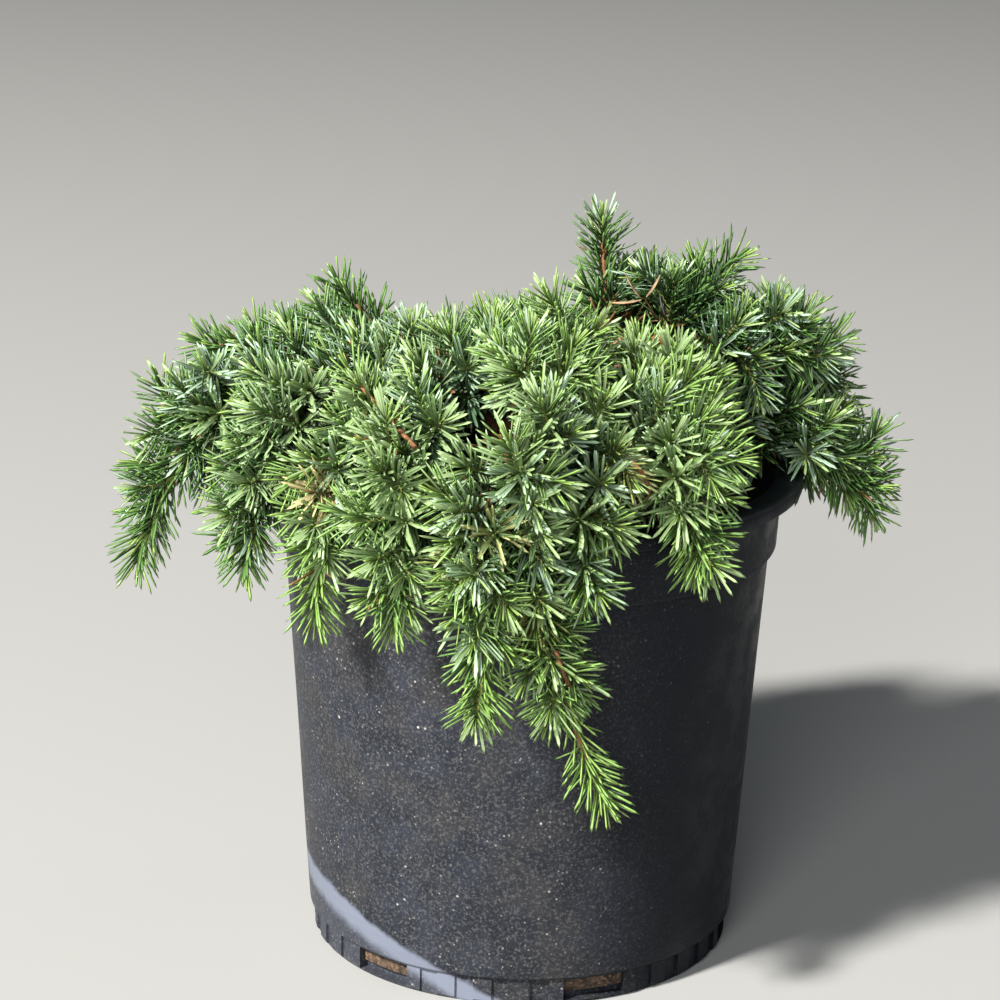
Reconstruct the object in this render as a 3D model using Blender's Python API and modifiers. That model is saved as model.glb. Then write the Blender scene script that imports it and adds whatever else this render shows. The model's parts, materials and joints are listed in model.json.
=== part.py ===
"""A young shore juniper in a nursery pot.

The pot stands on the ground plane, with the centre of its underside at the origin.
A short trunk rises from the potting mix and forks into boughs, and each bough ends
where its mass of needle shoots begins. Sizes are in millimetres and angles in
degrees; each mesh becomes metres as it is finished. +X is the pot's right and -Y its
front. A bearing is counted from +X towards the back, so -90 is the front.
"""
import math
import random

import bmesh
import bpy
import numpy as np
from mathutils import Matrix, Vector

MM = 0.001
GAP = 0.3
UP = Vector((0, 0, 1))

# The pot is a one gallon nursery pot with a rolled lip and a notched foot.
LIP_RADIUS = 82.5
POT_HEIGHT = 148.8
LIP_HEIGHT = 4.8
LIP_ROUND = 1.5
WALL = 2.0
BAND_TOP_RADIUS = 76.2
BAND_FOOT_RADIUS = 75.2
GROOVE_RADIUS = 73.0
GROOVE_HEIGHT = 124.6
GROOVE_STEP = 1.6
BODY_FOOT_RADIUS = 65.7
FOOT_RADIUS = 64.3
FOOT_HEIGHT = 9.0
FOOT_ROUND = 1.2
FLOOR = 3.0
POT_STEPS = 48

NOTCH_PITCH = 10.0
NOTCH_ARC = 5.0
NOTCH_DEPTH = 0.9
WINDOW_COUNT = 6
WINDOW_ARC = 17.0
WINDOW_HEIGHT = 8.0
WINDOW_FOOT = 1.0
WINDOW_BEARING = -70.0

# The potting mix fills the pot to just above the groove.
SOIL_TOP = 127.0
SOIL_FLAT_RADIUS = 24.0
SOIL_STEPS = 32

# The trunk has a flat cut on the potting mix, a root flare and a lean to its fork.
TRUNK_FOOT = Vector((1, 5, SOIL_TOP + GAP))
TRUNK_FORK = Vector((14, 7, 164))
TRUNK_LEAN = 62.0
TRUNK_RINGS = 8
TRUNK_SIDES = 10
TRUNK_RADIUS = 5.4
FORK_RADIUS = 3.7
FLARE_RADIUS = 8.5
FLARE_HEIGHT = 5.0

# Boughs, and the stems that carry on from them inside the masses.
BOUGH_SIDES = 5
BOUGH_RINGS = 4
BOUGH_RADIUS = 2.3
BRANCH_RADIUS = 1.7
BOUGH_TIP_RADIUS = 1.3
BARE_SHARE = 0.33
BOW = 0.42
STEM_SIDES = 3
STEM_RINGS = 3
STEM_TIP_RADIUS = 1.1
END_ROOM = 17.0

# Shoots stand on a stem like bottle brushes. They spiral round it by the golden angle
# and lift out of the crown. Towards its end they get shorter and spread less. None
# outgrows the end of its stem by more than a little.
CROWN_CENTRE = Vector((0, 0, 130))
SHOOTS_PER_MASS = 7
SHOOT_TRIES = 160
SHOOT_LENGTH = 23.0
SHOOT_LENGTH_RANGE = (0.85, 1.15)
SHOOT_SHORTENING = 0.62
SHOOT_SEATS = (0.03, 0.86)
SHOOT_SPREADS = (54.0, 36.0)
SHOOT_LIFT = 0.45
SHOOT_SPACING = 10.0
OUTGROW = 3.0
LIFT_ROOM = 12.0
END_LONGER_BY = 5.0
GOLDEN_ANGLE = 137.5
CORE_RADIUS = 2.9
CORE_TIP_RADIUS = 2.5
SEED = 11

# Needles are in whorls of three with one more at the tip, and wider than life.
BAR_SIDES = 3
NEEDLE_LENGTH = 15.5
TIP_NEEDLE_LENGTH = 9.0
NEEDLE_WIDTH = 3.8
NEEDLE_THICKNESS = 1.5
NEEDLE_OPENINGS = (58.0, 40.0)
WHORL_SHARES = (0.45, 0.85)
NEEDLES_PER_WHORL = 3
LEAST_NEEDLES = 4

# Room that a twig or needle keeps to wood, pot and other masses, and to its own mass.
SPACE_GAP = 0.6
FREE_AIR = 0.3
SUNK_SHARE = 0.3
SAMPLE_STEP = 1.0


def clear_scene():
    for old in list(bpy.data.objects):
        bpy.data.objects.remove(old, do_unlink=True)


def material(name, color, roughness, metallic=0.0):
    made = bpy.data.materials.new(name)
    made.use_nodes = True
    shader = made.node_tree.nodes["Principled BSDF"]
    shader.inputs["Base Color"].default_value = (*color, 1.0)
    shader.inputs["Roughness"].default_value = roughness
    shader.inputs["Metallic"].default_value = metallic
    made.diffuse_color = (*color, 1.0)
    return made


def collection(name):
    made = bpy.data.collections.new(name)
    bpy.context.scene.collection.children.link(made)
    return made


def object_from(builder, name, home):
    """Closes a mesh builder in millimetres into an object in metres."""
    bmesh.ops.scale(builder, vec=(MM, MM, MM), verts=builder.verts)
    bmesh.ops.recalc_face_normals(builder, faces=builder.faces)
    mesh = bpy.data.meshes.new(name)
    builder.to_mesh(mesh)
    builder.free()
    made = bpy.data.objects.new(name, mesh)
    home.objects.link(made)
    return made


def bake(target):
    """Replaces an object's mesh by the mesh that its modifiers give."""
    view = bpy.context.evaluated_depsgraph_get()
    baked = bpy.data.meshes.new_from_object(target.evaluated_get(view))
    target.modifiers.clear()
    target.data = baked


def paint(target, finish):
    target.data.materials.clear()
    target.data.materials.append(finish)


def towards(bearing, pitch):
    """A unit direction from its bearing and its slope above the horizontal."""
    turn = math.radians(bearing)
    rise = math.radians(pitch)
    return Vector((math.cos(turn) * math.cos(rise), math.sin(turn) * math.cos(rise), math.sin(rise)))


def place(bearing, reach, height):
    flat = towards(bearing, 0) * reach
    return Vector((flat.x, flat.y, height))


# Turned pieces: the pot and its filling.

def turned(name, outline, steps, home):
    """Turns an outline of (radius, height) points round the Z axis."""
    builder = bmesh.new()
    corners = [builder.verts.new((radius, 0, height)) for radius, height in outline]
    for low, high in zip(corners, corners[1:]):
        builder.edges.new((low, high))
    made = object_from(builder, name, home)
    screw = made.modifiers.new("turn", "SCREW")
    screw.axis = "Z"
    screw.steps = steps
    screw.render_steps = steps
    screw.use_merge_vertices = True
    screw.merge_threshold = 0.00001
    bake(made)
    return made


def pot_outline():
    """The pot's section: down the outside from the lip, and back up inside."""
    lip_foot = POT_HEIGHT - LIP_HEIGHT
    inner_lip = BAND_TOP_RADIUS - WALL
    outside = [
        (inner_lip + LIP_ROUND, POT_HEIGHT),
        (LIP_RADIUS - LIP_ROUND, POT_HEIGHT),
        (LIP_RADIUS, POT_HEIGHT - LIP_ROUND),
        (LIP_RADIUS, lip_foot),
        (LIP_RADIUS - WALL, lip_foot),
        (BAND_TOP_RADIUS, lip_foot + GAP),
        (BAND_FOOT_RADIUS, GROOVE_HEIGHT + GROOVE_STEP),
        (GROOVE_RADIUS, GROOVE_HEIGHT),
        (BODY_FOOT_RADIUS, FOOT_HEIGHT),
        (FOOT_RADIUS, FOOT_HEIGHT - GAP),
        (FOOT_RADIUS, FOOT_ROUND),
        (FOOT_RADIUS - FOOT_ROUND, 0),
        (0, 0),
    ]
    inside = [
        (0, FLOOR),
        (FOOT_RADIUS - WALL, FLOOR),
        (FOOT_RADIUS - WALL + GAP, FOOT_HEIGHT),
        (GROOVE_RADIUS - WALL, GROOVE_HEIGHT),
        (inner_lip, lip_foot),
        (inner_lip, POT_HEIGHT - LIP_ROUND),
    ]
    return outside + inside + outside[:1]


def foot_cutter(bearing, arc, depth, foot, height):
    """A block that cuts one notch or window into the pot's foot."""
    width = 2 * FOOT_RADIUS * math.sin(math.radians(arc / 2))
    block = bmesh.new()
    reach = BODY_FOOT_RADIUS + WALL
    inner = FOOT_RADIUS - depth
    size = Matrix.Diagonal((reach - inner, width, height, 1))
    middle = Matrix.Translation(((reach + inner) / 2, 0, foot + height / 2))
    turn = Matrix.Rotation(math.radians(bearing), 4, "Z")
    bmesh.ops.create_cube(block, size=1, matrix=turn @ middle @ size)
    return block


def window_bearings():
    return [WINDOW_BEARING + 360 / WINDOW_COUNT * count for count in range(WINDOW_COUNT)]


def notch_bearings():
    """Notches stand between the windows at an even pitch."""
    bearings = []
    for window in window_bearings():
        beside = window + 1.5 * NOTCH_PITCH
        while beside < window + 360 / WINDOW_COUNT - NOTCH_PITCH:
            bearings.append(beside)
            beside += NOTCH_PITCH
    return bearings


def build_pot(home, cutters):
    pot = turned("pot", pot_outline(), POT_STEPS, home)
    blocks = [foot_cutter(bearing, NOTCH_ARC, NOTCH_DEPTH, -1, FOOT_HEIGHT) for bearing in notch_bearings()]
    for bearing in window_bearings():
        blocks.append(foot_cutter(bearing, WINDOW_ARC, 2 * WALL, WINDOW_FOOT, WINDOW_HEIGHT - WINDOW_FOOT))
    for block in blocks:
        cutter = object_from(block, "foot_cutter", cutters)
        cutter.hide_render = True
        cutter.display_type = "WIRE"
    cut = pot.modifiers.new("foot", "BOOLEAN")
    cut.operation = "DIFFERENCE"
    cut.solver = "EXACT"
    cut.operand_type = "COLLECTION"
    cut.collection = cutters
    bake(pot)
    paint(pot, material("pot_plastic", (0.028, 0.029, 0.032), 0.42))


def build_soil(home):
    low = FLOOR + GAP
    floor_radius = FOOT_RADIUS - WALL - GAP
    rim_radius = GROOVE_RADIUS - WALL - GAP
    outline = [
        (0, SOIL_TOP),
        (SOIL_FLAT_RADIUS, SOIL_TOP),
        (rim_radius, GROOVE_HEIGHT),
        (floor_radius, FOOT_HEIGHT),
        (floor_radius, low),
        (0, low),
    ]
    soil = turned("potting_mix", outline, SOIL_STEPS, home)
    paint(soil, material("potting_mix", (0.06, 0.04, 0.026), 0.95))


# Limbs: the trunk, the boughs and the stems inside the masses.

def arch(start, start_way, end, end_way, bow, share):
    """A point on the smooth arch that leaves start and reaches end in given directions."""
    handle = (end - start).length * bow
    first = start + start_way * handle
    second = end - end_way * handle
    rest = 1 - share
    return (start * rest ** 3 + first * (3 * rest ** 2 * share)
            + second * (3 * rest * share ** 2) + end * share ** 3)


class Limb:
    """A limb along one arch: bare bough up to the share 'bare', leafy stem beyond."""

    def __init__(self, name, start, start_way, end, end_way, bow, bare, root, tip, brush=1.0):
        self.name = name
        self.ends = (start, start_way, end, end_way, bow)
        self.bare = bare
        self.root = root
        self.tip = tip
        self.brush = brush

    def point(self, share):
        return arch(*self.ends, share)

    def way(self, share):
        step = 0.002
        return (self.point(min(share + step, 1)) - self.point(max(share - step, 0))).normalized()

    def radius(self, share):
        """Taper from the root to the bare share's end, then on to the stem's tip."""
        if share <= self.bare:
            return self.root + (self.tip - self.root) * share / self.bare
        along = (share - self.bare) / (1 - self.bare)
        return self.tip + (STEM_TIP_RADIUS - self.tip) * along

    def length(self):
        points = [self.point(count / 20) for count in range(21)]
        return sum((after - before).length for before, after in zip(points, points[1:]))

    def samples(self, low, high):
        count = max(2, int(self.length() * (high - low) / SAMPLE_STEP))
        shares = [low + (high - low) * step / count for step in range(count + 1)]
        return np.array([(*self.point(share), self.radius(share)) for share in shares])


class Trunk(Limb):
    def __init__(self):
        lean = (TRUNK_FORK - TRUNK_FOOT).normalized()
        bearing = math.degrees(math.atan2(lean.y, lean.x))
        fork_way = towards(bearing, TRUNK_LEAN)
        super().__init__("trunk", TRUNK_FOOT, UP, TRUNK_FORK, fork_way, BOW, 1, TRUNK_RADIUS, FORK_RADIUS)

    def radius(self, share):
        plain = super().radius(share)
        rise = self.point(share).z - TRUNK_FOOT.z
        flare = max(0, 1 - rise / FLARE_HEIGHT) ** 2
        return plain + (FLARE_RADIUS - TRUNK_RADIUS) * flare


def limb_on(parent, name, at, bearing, reach, height, leave, end, bare=BARE_SHARE, bow=BOW, veer=0, swing=0,
            brush=1.0):
    """A limb that leaves its parent at a share of its bare length and ends in a mass.

    The bearing, reach and height give the furthest needle; leave and end are the
    slopes of the limb at its two ends. veer and swing turn those ends out of the
    upright plane through both, and brush is the length of its side shoots against
    the usual one.
    """
    share = at * parent.bare
    seat = parent.point(share)
    parent_way = parent.way(share)
    thick = parent.radius(share)
    last = place(bearing, reach, height)
    heading = math.degrees(math.atan2(last.y - seat.y, last.x - seat.x))
    root = BOUGH_RADIUS if parent.name == "trunk" else BRANCH_RADIUS
    if at == 1:
        way = parent_way
        start = seat + way * GAP
        root = thick
    else:
        way = towards(heading + veer, leave)
        along = way.dot(parent_way)
        side = (way - parent_way * along).normalized()
        start = seat + side * (thick + GAP + root * abs(along))
    end_way = towards(heading + swing, end)
    stem_end = last - end_way * END_ROOM
    return Limb(name, start, way, stem_end, end_way, bow, bare, root, BOUGH_TIP_RADIUS, brush)


def plan_limbs():
    """Every limb by name. The masses are named for where they lie in the crown."""
    trunk = Trunk()
    limbs = {}

    def grow(name, on, at, **sizes):
        parent = trunk if on == "trunk" else limbs[on]
        limbs[name] = limb_on(parent, name, at, **sizes)

    grow("top_peak", "trunk", 1.0, bearing=49, reach=31, height=229, leave=60, end=100, bare=0.4, brush=0.5)
    grow("left_outer", "trunk", 0.55, bearing=-174, reach=121, height=107, leave=36, end=-72, bow=0.5,
         brush=1.0)
    grow("left_back_top", "trunk", 0.72, bearing=147, reach=80, height=202, leave=20, end=45, brush=0.65)
    grow("front_left_low", "trunk", 0.42, bearing=-131, reach=92, height=110, leave=46, end=-85,
         bow=0.58, brush=0.9)
    grow("hang_right", "trunk", 0.7, bearing=-74, reach=100, height=66, leave=18, end=-65, bow=0.92,
         veer=-10, swing=65, brush=1.05, bare=0.2)
    grow("front_right", "trunk", 0.34, bearing=-59, reach=91, height=127, leave=42, end=-80, bow=0.52,
         brush=1.0)
    grow("right_low", "trunk", 0.6, bearing=4, reach=113, height=122, leave=40, end=-52, bow=0.46, brush=1.05)
    grow("back_right", "trunk", 0.36, bearing=58, reach=98, height=124, leave=42, end=-65, bow=0.5)
    grow("back", "trunk", 0.62, bearing=92, reach=100, height=116, leave=32, end=-72, bow=0.48, brush=0.75)
    grow("back_left", "trunk", 0.42, bearing=124, reach=100, height=120, leave=30, end=-68, bow=0.48,
         brush=0.7)
    grow("centre", "trunk", 0.86, bearing=-78, reach=38, height=200, leave=55, end=60, bare=0.2, brush=1.3)

    grow("left_upper", "left_outer", 0.6, bearing=171, reach=112, height=182, leave=60, end=10, brush=0.72)
    grow("left_middle", "left_outer", 0.3, bearing=-156, reach=78, height=185, leave=70, end=15,
         bare=0.22, brush=1.0)
    grow("left_front", "left_outer", 0.9, bearing=-148, reach=98, height=118, leave=30, end=-75, brush=0.9)
    grow("left_back", "left_back_top", 0.5, bearing=163, reach=114, height=147, leave=8, end=-45, brush=0.9)
    grow("front_left", "front_left_low", 0.85, bearing=-113, reach=95, height=113, leave=20, end=-88,
         brush=0.9)
    grow("front_centre_left", "front_left_low", 0.3, bearing=-121, reach=70, height=181, leave=70,
         end=5, bare=0.22, brush=1.1)
    grow("centre_left", "left_back_top", 0.2, bearing=-170, reach=54, height=187, leave=58, end=25,
         bare=0.2, brush=0.9)
    grow("front_centre", "hang_right", 0.6, bearing=-81, reach=94, height=123, leave=30, end=-82,
         veer=20, brush=0.9, bare=0.25)
    grow("hang_left", "hang_right", 0.9, bearing=-97, reach=96, height=92, leave=22, end=-95, bow=0.5,
         brush=0.9, bare=0.22)
    grow("front_middle", "hang_right", 0.45, bearing=-90, reach=78, height=176, leave=66, end=-15,
         bare=0.22, brush=1.3)
    grow("right_bright", "front_right", 0.5, bearing=-31, reach=76, height=176, leave=60, end=0,
         bare=0.22, brush=1.15)
    grow("right_outer", "right_low", 0.5, bearing=1, reach=103, height=189, leave=60, end=10, bare=0.25)
    grow("right_top", "top_peak", 0.5, bearing=12, reach=71, height=217, leave=30, end=45, brush=0.8)
    grow("top_back", "top_peak", 0.8, bearing=42, reach=66, height=203, leave=30, end=35, brush=0.9)
    grow("centre_top", "top_peak", 0.3, bearing=85, reach=22, height=200, leave=60, end=70)
    grow("right_back", "back_right", 0.45, bearing=17, reach=111, height=152, leave=30, end=-40)
    grow("back_centre", "back", 0.35, bearing=104, reach=62, height=178, leave=60, end=20, brush=0.9)
    return trunk, limbs


def sweep(limb, low, high, rings, sides):
    """A closed, tapering tube along a limb, extruded from ring to ring."""
    builder = bmesh.new()
    way = limb.way(low)
    aim = Matrix.Translation(limb.point(low)) @ UP.rotation_difference(way).to_matrix().to_4x4()
    bmesh.ops.create_circle(builder, cap_ends=True, segments=sides, radius=limb.radius(low), matrix=aim)
    cap = builder.faces[:]
    for count in range(1, rings + 1):
        before = low + (high - low) * (count - 1) / rings
        after = low + (high - low) * count / rings
        made = bmesh.ops.extrude_face_region(builder, geom=cap, use_keep_orig=count == 1)
        if count > 1:
            bmesh.ops.delete(builder, geom=cap, context="FACES_ONLY")
        corners = [item for item in made["geom"] if isinstance(item, bmesh.types.BMVert)]
        cap = [item for item in made["geom"] if isinstance(item, bmesh.types.BMFace)]
        turn = limb.way(before).rotation_difference(limb.way(after)).to_matrix().to_4x4()
        grow = Matrix.Scale(limb.radius(after) / limb.radius(before), 4)
        move = Matrix.Translation(limb.point(after)) @ turn @ grow @ Matrix.Translation(-limb.point(before))
        bmesh.ops.transform(builder, matrix=move, verts=corners)
    return builder


# Shoots: bottle brushes of needles on the stems.

def bar(start, end, root, tip, side, width=1, thickness=1):
    """A three-sided bar or spike from start to end, turned so that it faces side."""
    builder = bmesh.new()
    way = (end - start).normalized()
    across = way.cross(side).normalized()
    turn = Matrix((across.cross(way), across, way)).transposed().to_4x4()
    flatten = Matrix.Diagonal((width, thickness, 1, 1))
    aim = Matrix.Translation((start + end) / 2) @ turn @ flatten
    bmesh.ops.create_cone(builder, cap_ends=True, segments=BAR_SIDES, radius1=root, radius2=tip,
                          depth=(end - start).length, matrix=aim)
    return builder


def needle_blade(root, point, shoot_way):
    """A flat spike, as wide as a needle along the shoot and as thick across it."""
    unit_width = math.sqrt(3)
    unit_thickness = 1.5
    return bar(root, point, 1, 0, shoot_way, NEEDLE_WIDTH / unit_width, NEEDLE_THICKNESS / unit_thickness)


def between(start, end, root, tip):
    """Points with their radius along a straight piece, close enough to test it by."""
    count = max(2, math.ceil((end - start).length / SAMPLE_STEP))
    shares = np.linspace(0, 1, count + 1)[:, None]
    points = np.array(start) * (1 - shares) + np.array(end) * shares
    return np.hstack([points, root * (1 - shares) + tip * shares])


def nearest(points, cloud):
    """How far each point is from the closest point of a cloud."""
    apart = points[:, None, :3] - cloud[None, :, :3]
    return np.sqrt((apart ** 2).sum(axis=2)).min(axis=1)


class Space:
    """What a twig or needle of one mass has to stay clear of."""

    def __init__(self, name, trunk, limbs):
        self.own = limbs[name].samples(limbs[name].bare, 1)
        self.end = limbs[name].point(1)
        self.end_way = limbs[name].way(1)
        others = [limb.samples(limb.bare, 1) for limb in limbs.values() if limb.name != name]
        self.others = np.vstack(others)
        wood = [trunk.samples(0, 1)]
        wood += [limb.samples(0, limb.bare) for limb in limbs.values()]
        self.wood = np.vstack(wood)
        self.taken = np.empty((0, 4))

    def take(self, pieces):
        """Counts the pieces of a finished shoot as taken."""
        self.taken = np.vstack([self.taken, *pieces])

    def outgrown_by(self, tip):
        """True for a tip past the stem's end, or too high above the end of a stem that rises."""
        past = (tip - self.end).dot(self.end_way)
        slope = self.end_way.z
        above = tip.z - self.end.z - LIFT_ROOM * (1 - slope) if slope > 0 else 0
        return max(past, above) > OUTGROW

    def free(self, piece):
        """True where a piece would cross no shoot of its own mass."""
        if not len(self.taken):
            return True
        apart = piece[:, None, :3] - self.taken[None, :, :3]
        air = np.sqrt((apart ** 2).sum(axis=2)) - self.taken[None, :, 3] - piece[:, None, 3]
        return bool(air.min() > FREE_AIR)

    def holds(self, piece):
        """True where a piece is nearest to its own stem and clear of wood and pot."""
        thick = piece[:, 3]
        lead = nearest(piece, self.others) - nearest(piece, self.own)
        if (lead < 2 * thick + SPACE_GAP).any():
            return False
        apart = piece[:, None, :3] - self.wood[None, :, :3]
        air = np.sqrt((apart ** 2).sum(axis=2)) - self.wood[None, :, 3]
        if (air.min(axis=1) < thick + SPACE_GAP).any():
            return False
        return self.clear_of_pot(piece)

    @staticmethod
    def clear_of_pot(piece):
        reach = np.hypot(piece[:, 0], piece[:, 1])
        height = piece[:, 2]
        air = piece[:, 3] + SPACE_GAP
        above = height > POT_HEIGHT + air
        outside = reach > LIP_RADIUS + air
        under_lip = (height < POT_HEIGHT - LIP_HEIGHT - air) & (reach > BAND_TOP_RADIUS + air)
        within = (reach < GROOVE_RADIUS - WALL - air) & (height > SOIL_TOP + air)
        return bool((above | outside | under_lip | within).all())


class Shoot:
    """A short twig from its seat on the stem, with needles in whorls and at its tip."""

    def __init__(self, seat, tip):
        self.seat = seat
        self.tip = tip
        self.way = (tip - seat).normalized()
        self.side = self.way.orthogonal().normalized()

    def core(self):
        return bar(self.seat, self.tip, CORE_RADIUS, CORE_TIP_RADIUS, self.side)

    def core_points(self):
        """The core's test points, from clear of the stem to its tip."""
        return between(self.seat.lerp(self.tip, SUNK_SHARE), self.tip, CORE_RADIUS, CORE_TIP_RADIUS)

    def needles(self):
        """The root and tip of each needle."""
        last = self.seat.lerp(self.tip, WHORL_SHARES[-1])
        yield last, self.tip + self.way * TIP_NEEDLE_LENGTH
        for whorl, share in enumerate(WHORL_SHARES):
            opening = math.radians(NEEDLE_OPENINGS[whorl])
            root = self.seat.lerp(self.tip, share)
            for count in range(NEEDLES_PER_WHORL):
                turn = math.radians(360 / NEEDLES_PER_WHORL * (count + whorl / 2))
                around = Matrix.Rotation(turn, 3, self.way) @ self.side
                way = self.way * math.cos(opening) + around * math.sin(opening)
                yield root, root + way * NEEDLE_LENGTH

    def fitting_needles(self, space):
        """The needles with room in their mass's space and clear of its other shoots."""
        fitting = []
        for needle in self.needles():
            points = needle_points(*needle)
            if space.holds(points) and space.free(points):
                fitting.append(needle)
        return fitting


def needle_points(root, point):
    """A needle's test points, from where it leaves its core."""
    return between(root.lerp(point, SUNK_SHARE), point, NEEDLE_WIDTH / 2, 0)


def shoot_candidates(limb, rng):
    """Side shoots spiral round the stem, turn out of the crown and get shorter along it."""
    for count in range(SHOOT_TRIES):
        along = rng.uniform(*SHOOT_SEATS)
        share = limb.bare + (1 - limb.bare) * along
        seat = limb.point(share)
        way = limb.way(share)
        around = Matrix.Rotation(math.radians(GOLDEN_ANGLE * count), 3, way) @ way.orthogonal().normalized()
        spread = math.radians(SHOOT_SPREADS[0] + (SHOOT_SPREADS[1] - SHOOT_SPREADS[0]) * along)
        outward = (seat - CROWN_CENTRE).normalized()
        lean = way * math.cos(spread) + around * math.sin(spread) + outward * SHOOT_LIFT
        length = SHOOT_LENGTH * limb.brush * (1 - SHOOT_SHORTENING * along) * rng.uniform(*SHOOT_LENGTH_RANGE)
        yield Shoot(seat, seat + lean.normalized() * length)


def plan_shoots(limb, space, rng, tips):
    """The shoot that ends the stem, then the side shoots that fit, the loneliest first.

    Gives each shoot with its needles. tips holds the tips of the whole crown so far.
    """
    last = SHOOT_LENGTH * (1 - SHOOT_SHORTENING) / limb.length()
    waiting = [Shoot(limb.point(1 - last), limb.point(1) + limb.way(1) * END_LONGER_BY)]
    candidates = [shoot for shoot in shoot_candidates(limb, rng)
                  if space.holds(shoot.core_points()) and not space.outgrown_by(shoot.tip)]
    kept = []
    while waiting and len(kept) < SHOOTS_PER_MASS:
        shoot = waiting.pop()
        needles = shoot.fitting_needles(space)
        if space.free(shoot.core_points()) and len(needles) >= LEAST_NEEDLES:
            kept.append((shoot, needles))
            space.take([shoot.core_points()] + [needle_points(*needle) for needle in needles])
            tips.append(shoot.tip)
        loneliness = [min((other.tip - tip).length for tip in tips) for other in candidates]
        if candidates and max(loneliness) > SHOOT_SPACING:
            waiting.append(candidates.pop(loneliness.index(max(loneliness))))
    return kept


def build_mass(limb, trunk, limbs, tips, home, finish):
    """Fuses a stem, its shoots and their needles into one closed solid."""
    rng = random.Random(f"{SEED} {limb.name}")
    space = Space(limb.name, trunk, limbs)
    low = limb.bare + GAP / limb.length()
    stem = object_from(sweep(limb, low, 1, STEM_RINGS, STEM_SIDES), limb.name + "_foliage", home)
    twigs = collection(limb.name + "_twigs")
    for shoot, needles in plan_shoots(limb, space, rng, tips):
        object_from(shoot.core(), "core", twigs)
        for root, point in needles:
            object_from(needle_blade(root, point, shoot.way), "needle", twigs)
    fuse = stem.modifiers.new("fuse", "BOOLEAN")
    fuse.operation = "UNION"
    fuse.solver = "EXACT"
    fuse.operand_type = "COLLECTION"
    fuse.collection = twigs
    bake(stem)
    for piece in list(twigs.objects):
        bpy.data.objects.remove(piece, do_unlink=True)
    bpy.data.collections.remove(twigs)
    keep_main_shell(stem.data)
    paint(stem, finish)


def keep_main_shell(mesh):
    """Drops loose scraps and fills hollows: only the widest shell stays."""
    builder = bmesh.new()
    builder.from_mesh(mesh)
    shells = []
    left = set(builder.verts)
    while left:
        seed = left.pop()
        shell = {seed}
        edge_of_shell = [seed]
        while edge_of_shell:
            corner = edge_of_shell.pop()
            for edge in corner.link_edges:
                other = edge.other_vert(corner)
                if other in left:
                    left.discard(other)
                    shell.add(other)
                    edge_of_shell.append(other)
        shells.append(shell)
    main = max(shells, key=len)
    scraps = [corner for corner in builder.verts if corner not in main]
    bmesh.ops.delete(builder, geom=scraps, context="VERTS")
    builder.to_mesh(mesh)
    builder.free()


def build_wood(trunk, limbs, home):
    bark = material("bark", (0.22, 0.115, 0.055), 0.85)
    stem = object_from(sweep(trunk, 0, 1, TRUNK_RINGS, TRUNK_SIDES), "trunk", home)
    paint(stem, bark)
    for limb in limbs.values():
        bough = object_from(sweep(limb, 0, limb.bare, BOUGH_RINGS, BOUGH_SIDES), limb.name + "_bough", home)
        paint(bough, bark)


def build():
    clear_scene()
    home = collection("potted_juniper")
    cutters = collection("cutters")
    build_pot(home, cutters)
    build_soil(home)
    trunk, limbs = plan_limbs()
    build_wood(trunk, limbs, home)
    needles = material("needles", (0.09, 0.2, 0.07), 0.55)
    tips = []
    for limb in limbs.values():
        build_mass(limb, trunk, limbs, tips, home, needles)


build()
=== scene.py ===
# %% [markdown]
# A young shore juniper in a nursery pot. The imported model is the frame: it fixes where the pot, the
# boughs and the foliage masses are, and this script dresses it. Lengths are worked out in millimetres,
# which suit needles and pot walls, and each finished mesh is brought to metres as its last step.

# %% Load the frame
import json
import math
import random

import bmesh
import bpy
import numpy as np
from mathutils import Matrix, Vector, noise

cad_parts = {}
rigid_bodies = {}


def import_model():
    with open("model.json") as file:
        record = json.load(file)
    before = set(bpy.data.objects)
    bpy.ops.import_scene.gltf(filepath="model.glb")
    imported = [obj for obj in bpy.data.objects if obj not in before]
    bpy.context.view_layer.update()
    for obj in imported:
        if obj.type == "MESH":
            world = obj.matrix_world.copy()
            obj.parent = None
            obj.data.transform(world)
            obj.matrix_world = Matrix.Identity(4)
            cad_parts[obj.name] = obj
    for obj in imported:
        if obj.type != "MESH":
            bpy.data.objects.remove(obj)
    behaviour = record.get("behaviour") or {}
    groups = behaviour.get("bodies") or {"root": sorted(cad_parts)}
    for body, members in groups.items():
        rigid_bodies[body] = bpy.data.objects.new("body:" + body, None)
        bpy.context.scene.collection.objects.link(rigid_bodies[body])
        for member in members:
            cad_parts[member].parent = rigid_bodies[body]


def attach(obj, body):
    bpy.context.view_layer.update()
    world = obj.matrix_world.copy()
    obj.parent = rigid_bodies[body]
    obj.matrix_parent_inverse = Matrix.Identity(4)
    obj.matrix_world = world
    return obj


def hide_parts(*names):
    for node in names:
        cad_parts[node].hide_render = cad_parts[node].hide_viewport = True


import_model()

MM = 0.001
UP = Vector((0, 0, 1))
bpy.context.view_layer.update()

# %% [markdown]
# The camera comes first, since everything is compared through it. The pot's lip and foot are two
# circles of known size, and their shapes in the photograph give the distance, the downward slope and
# a slight roll. A long lens far away keeps the pot's sides nearly parallel.

# %% Camera
LENS = 108.0
SENSOR = 36.0
CAMERA_DISTANCE = 906.5
CAMERA_SLOPE = 16.27
CAMERA_ROLL = 1.01
CAMERA_TARGET = Vector((-8.43, 0, 136.19))


def linked(name, data):
    """Puts a new object with this data into the scene."""
    made = bpy.data.objects.new(name, data)
    bpy.context.scene.collection.objects.link(made)
    return made


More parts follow.
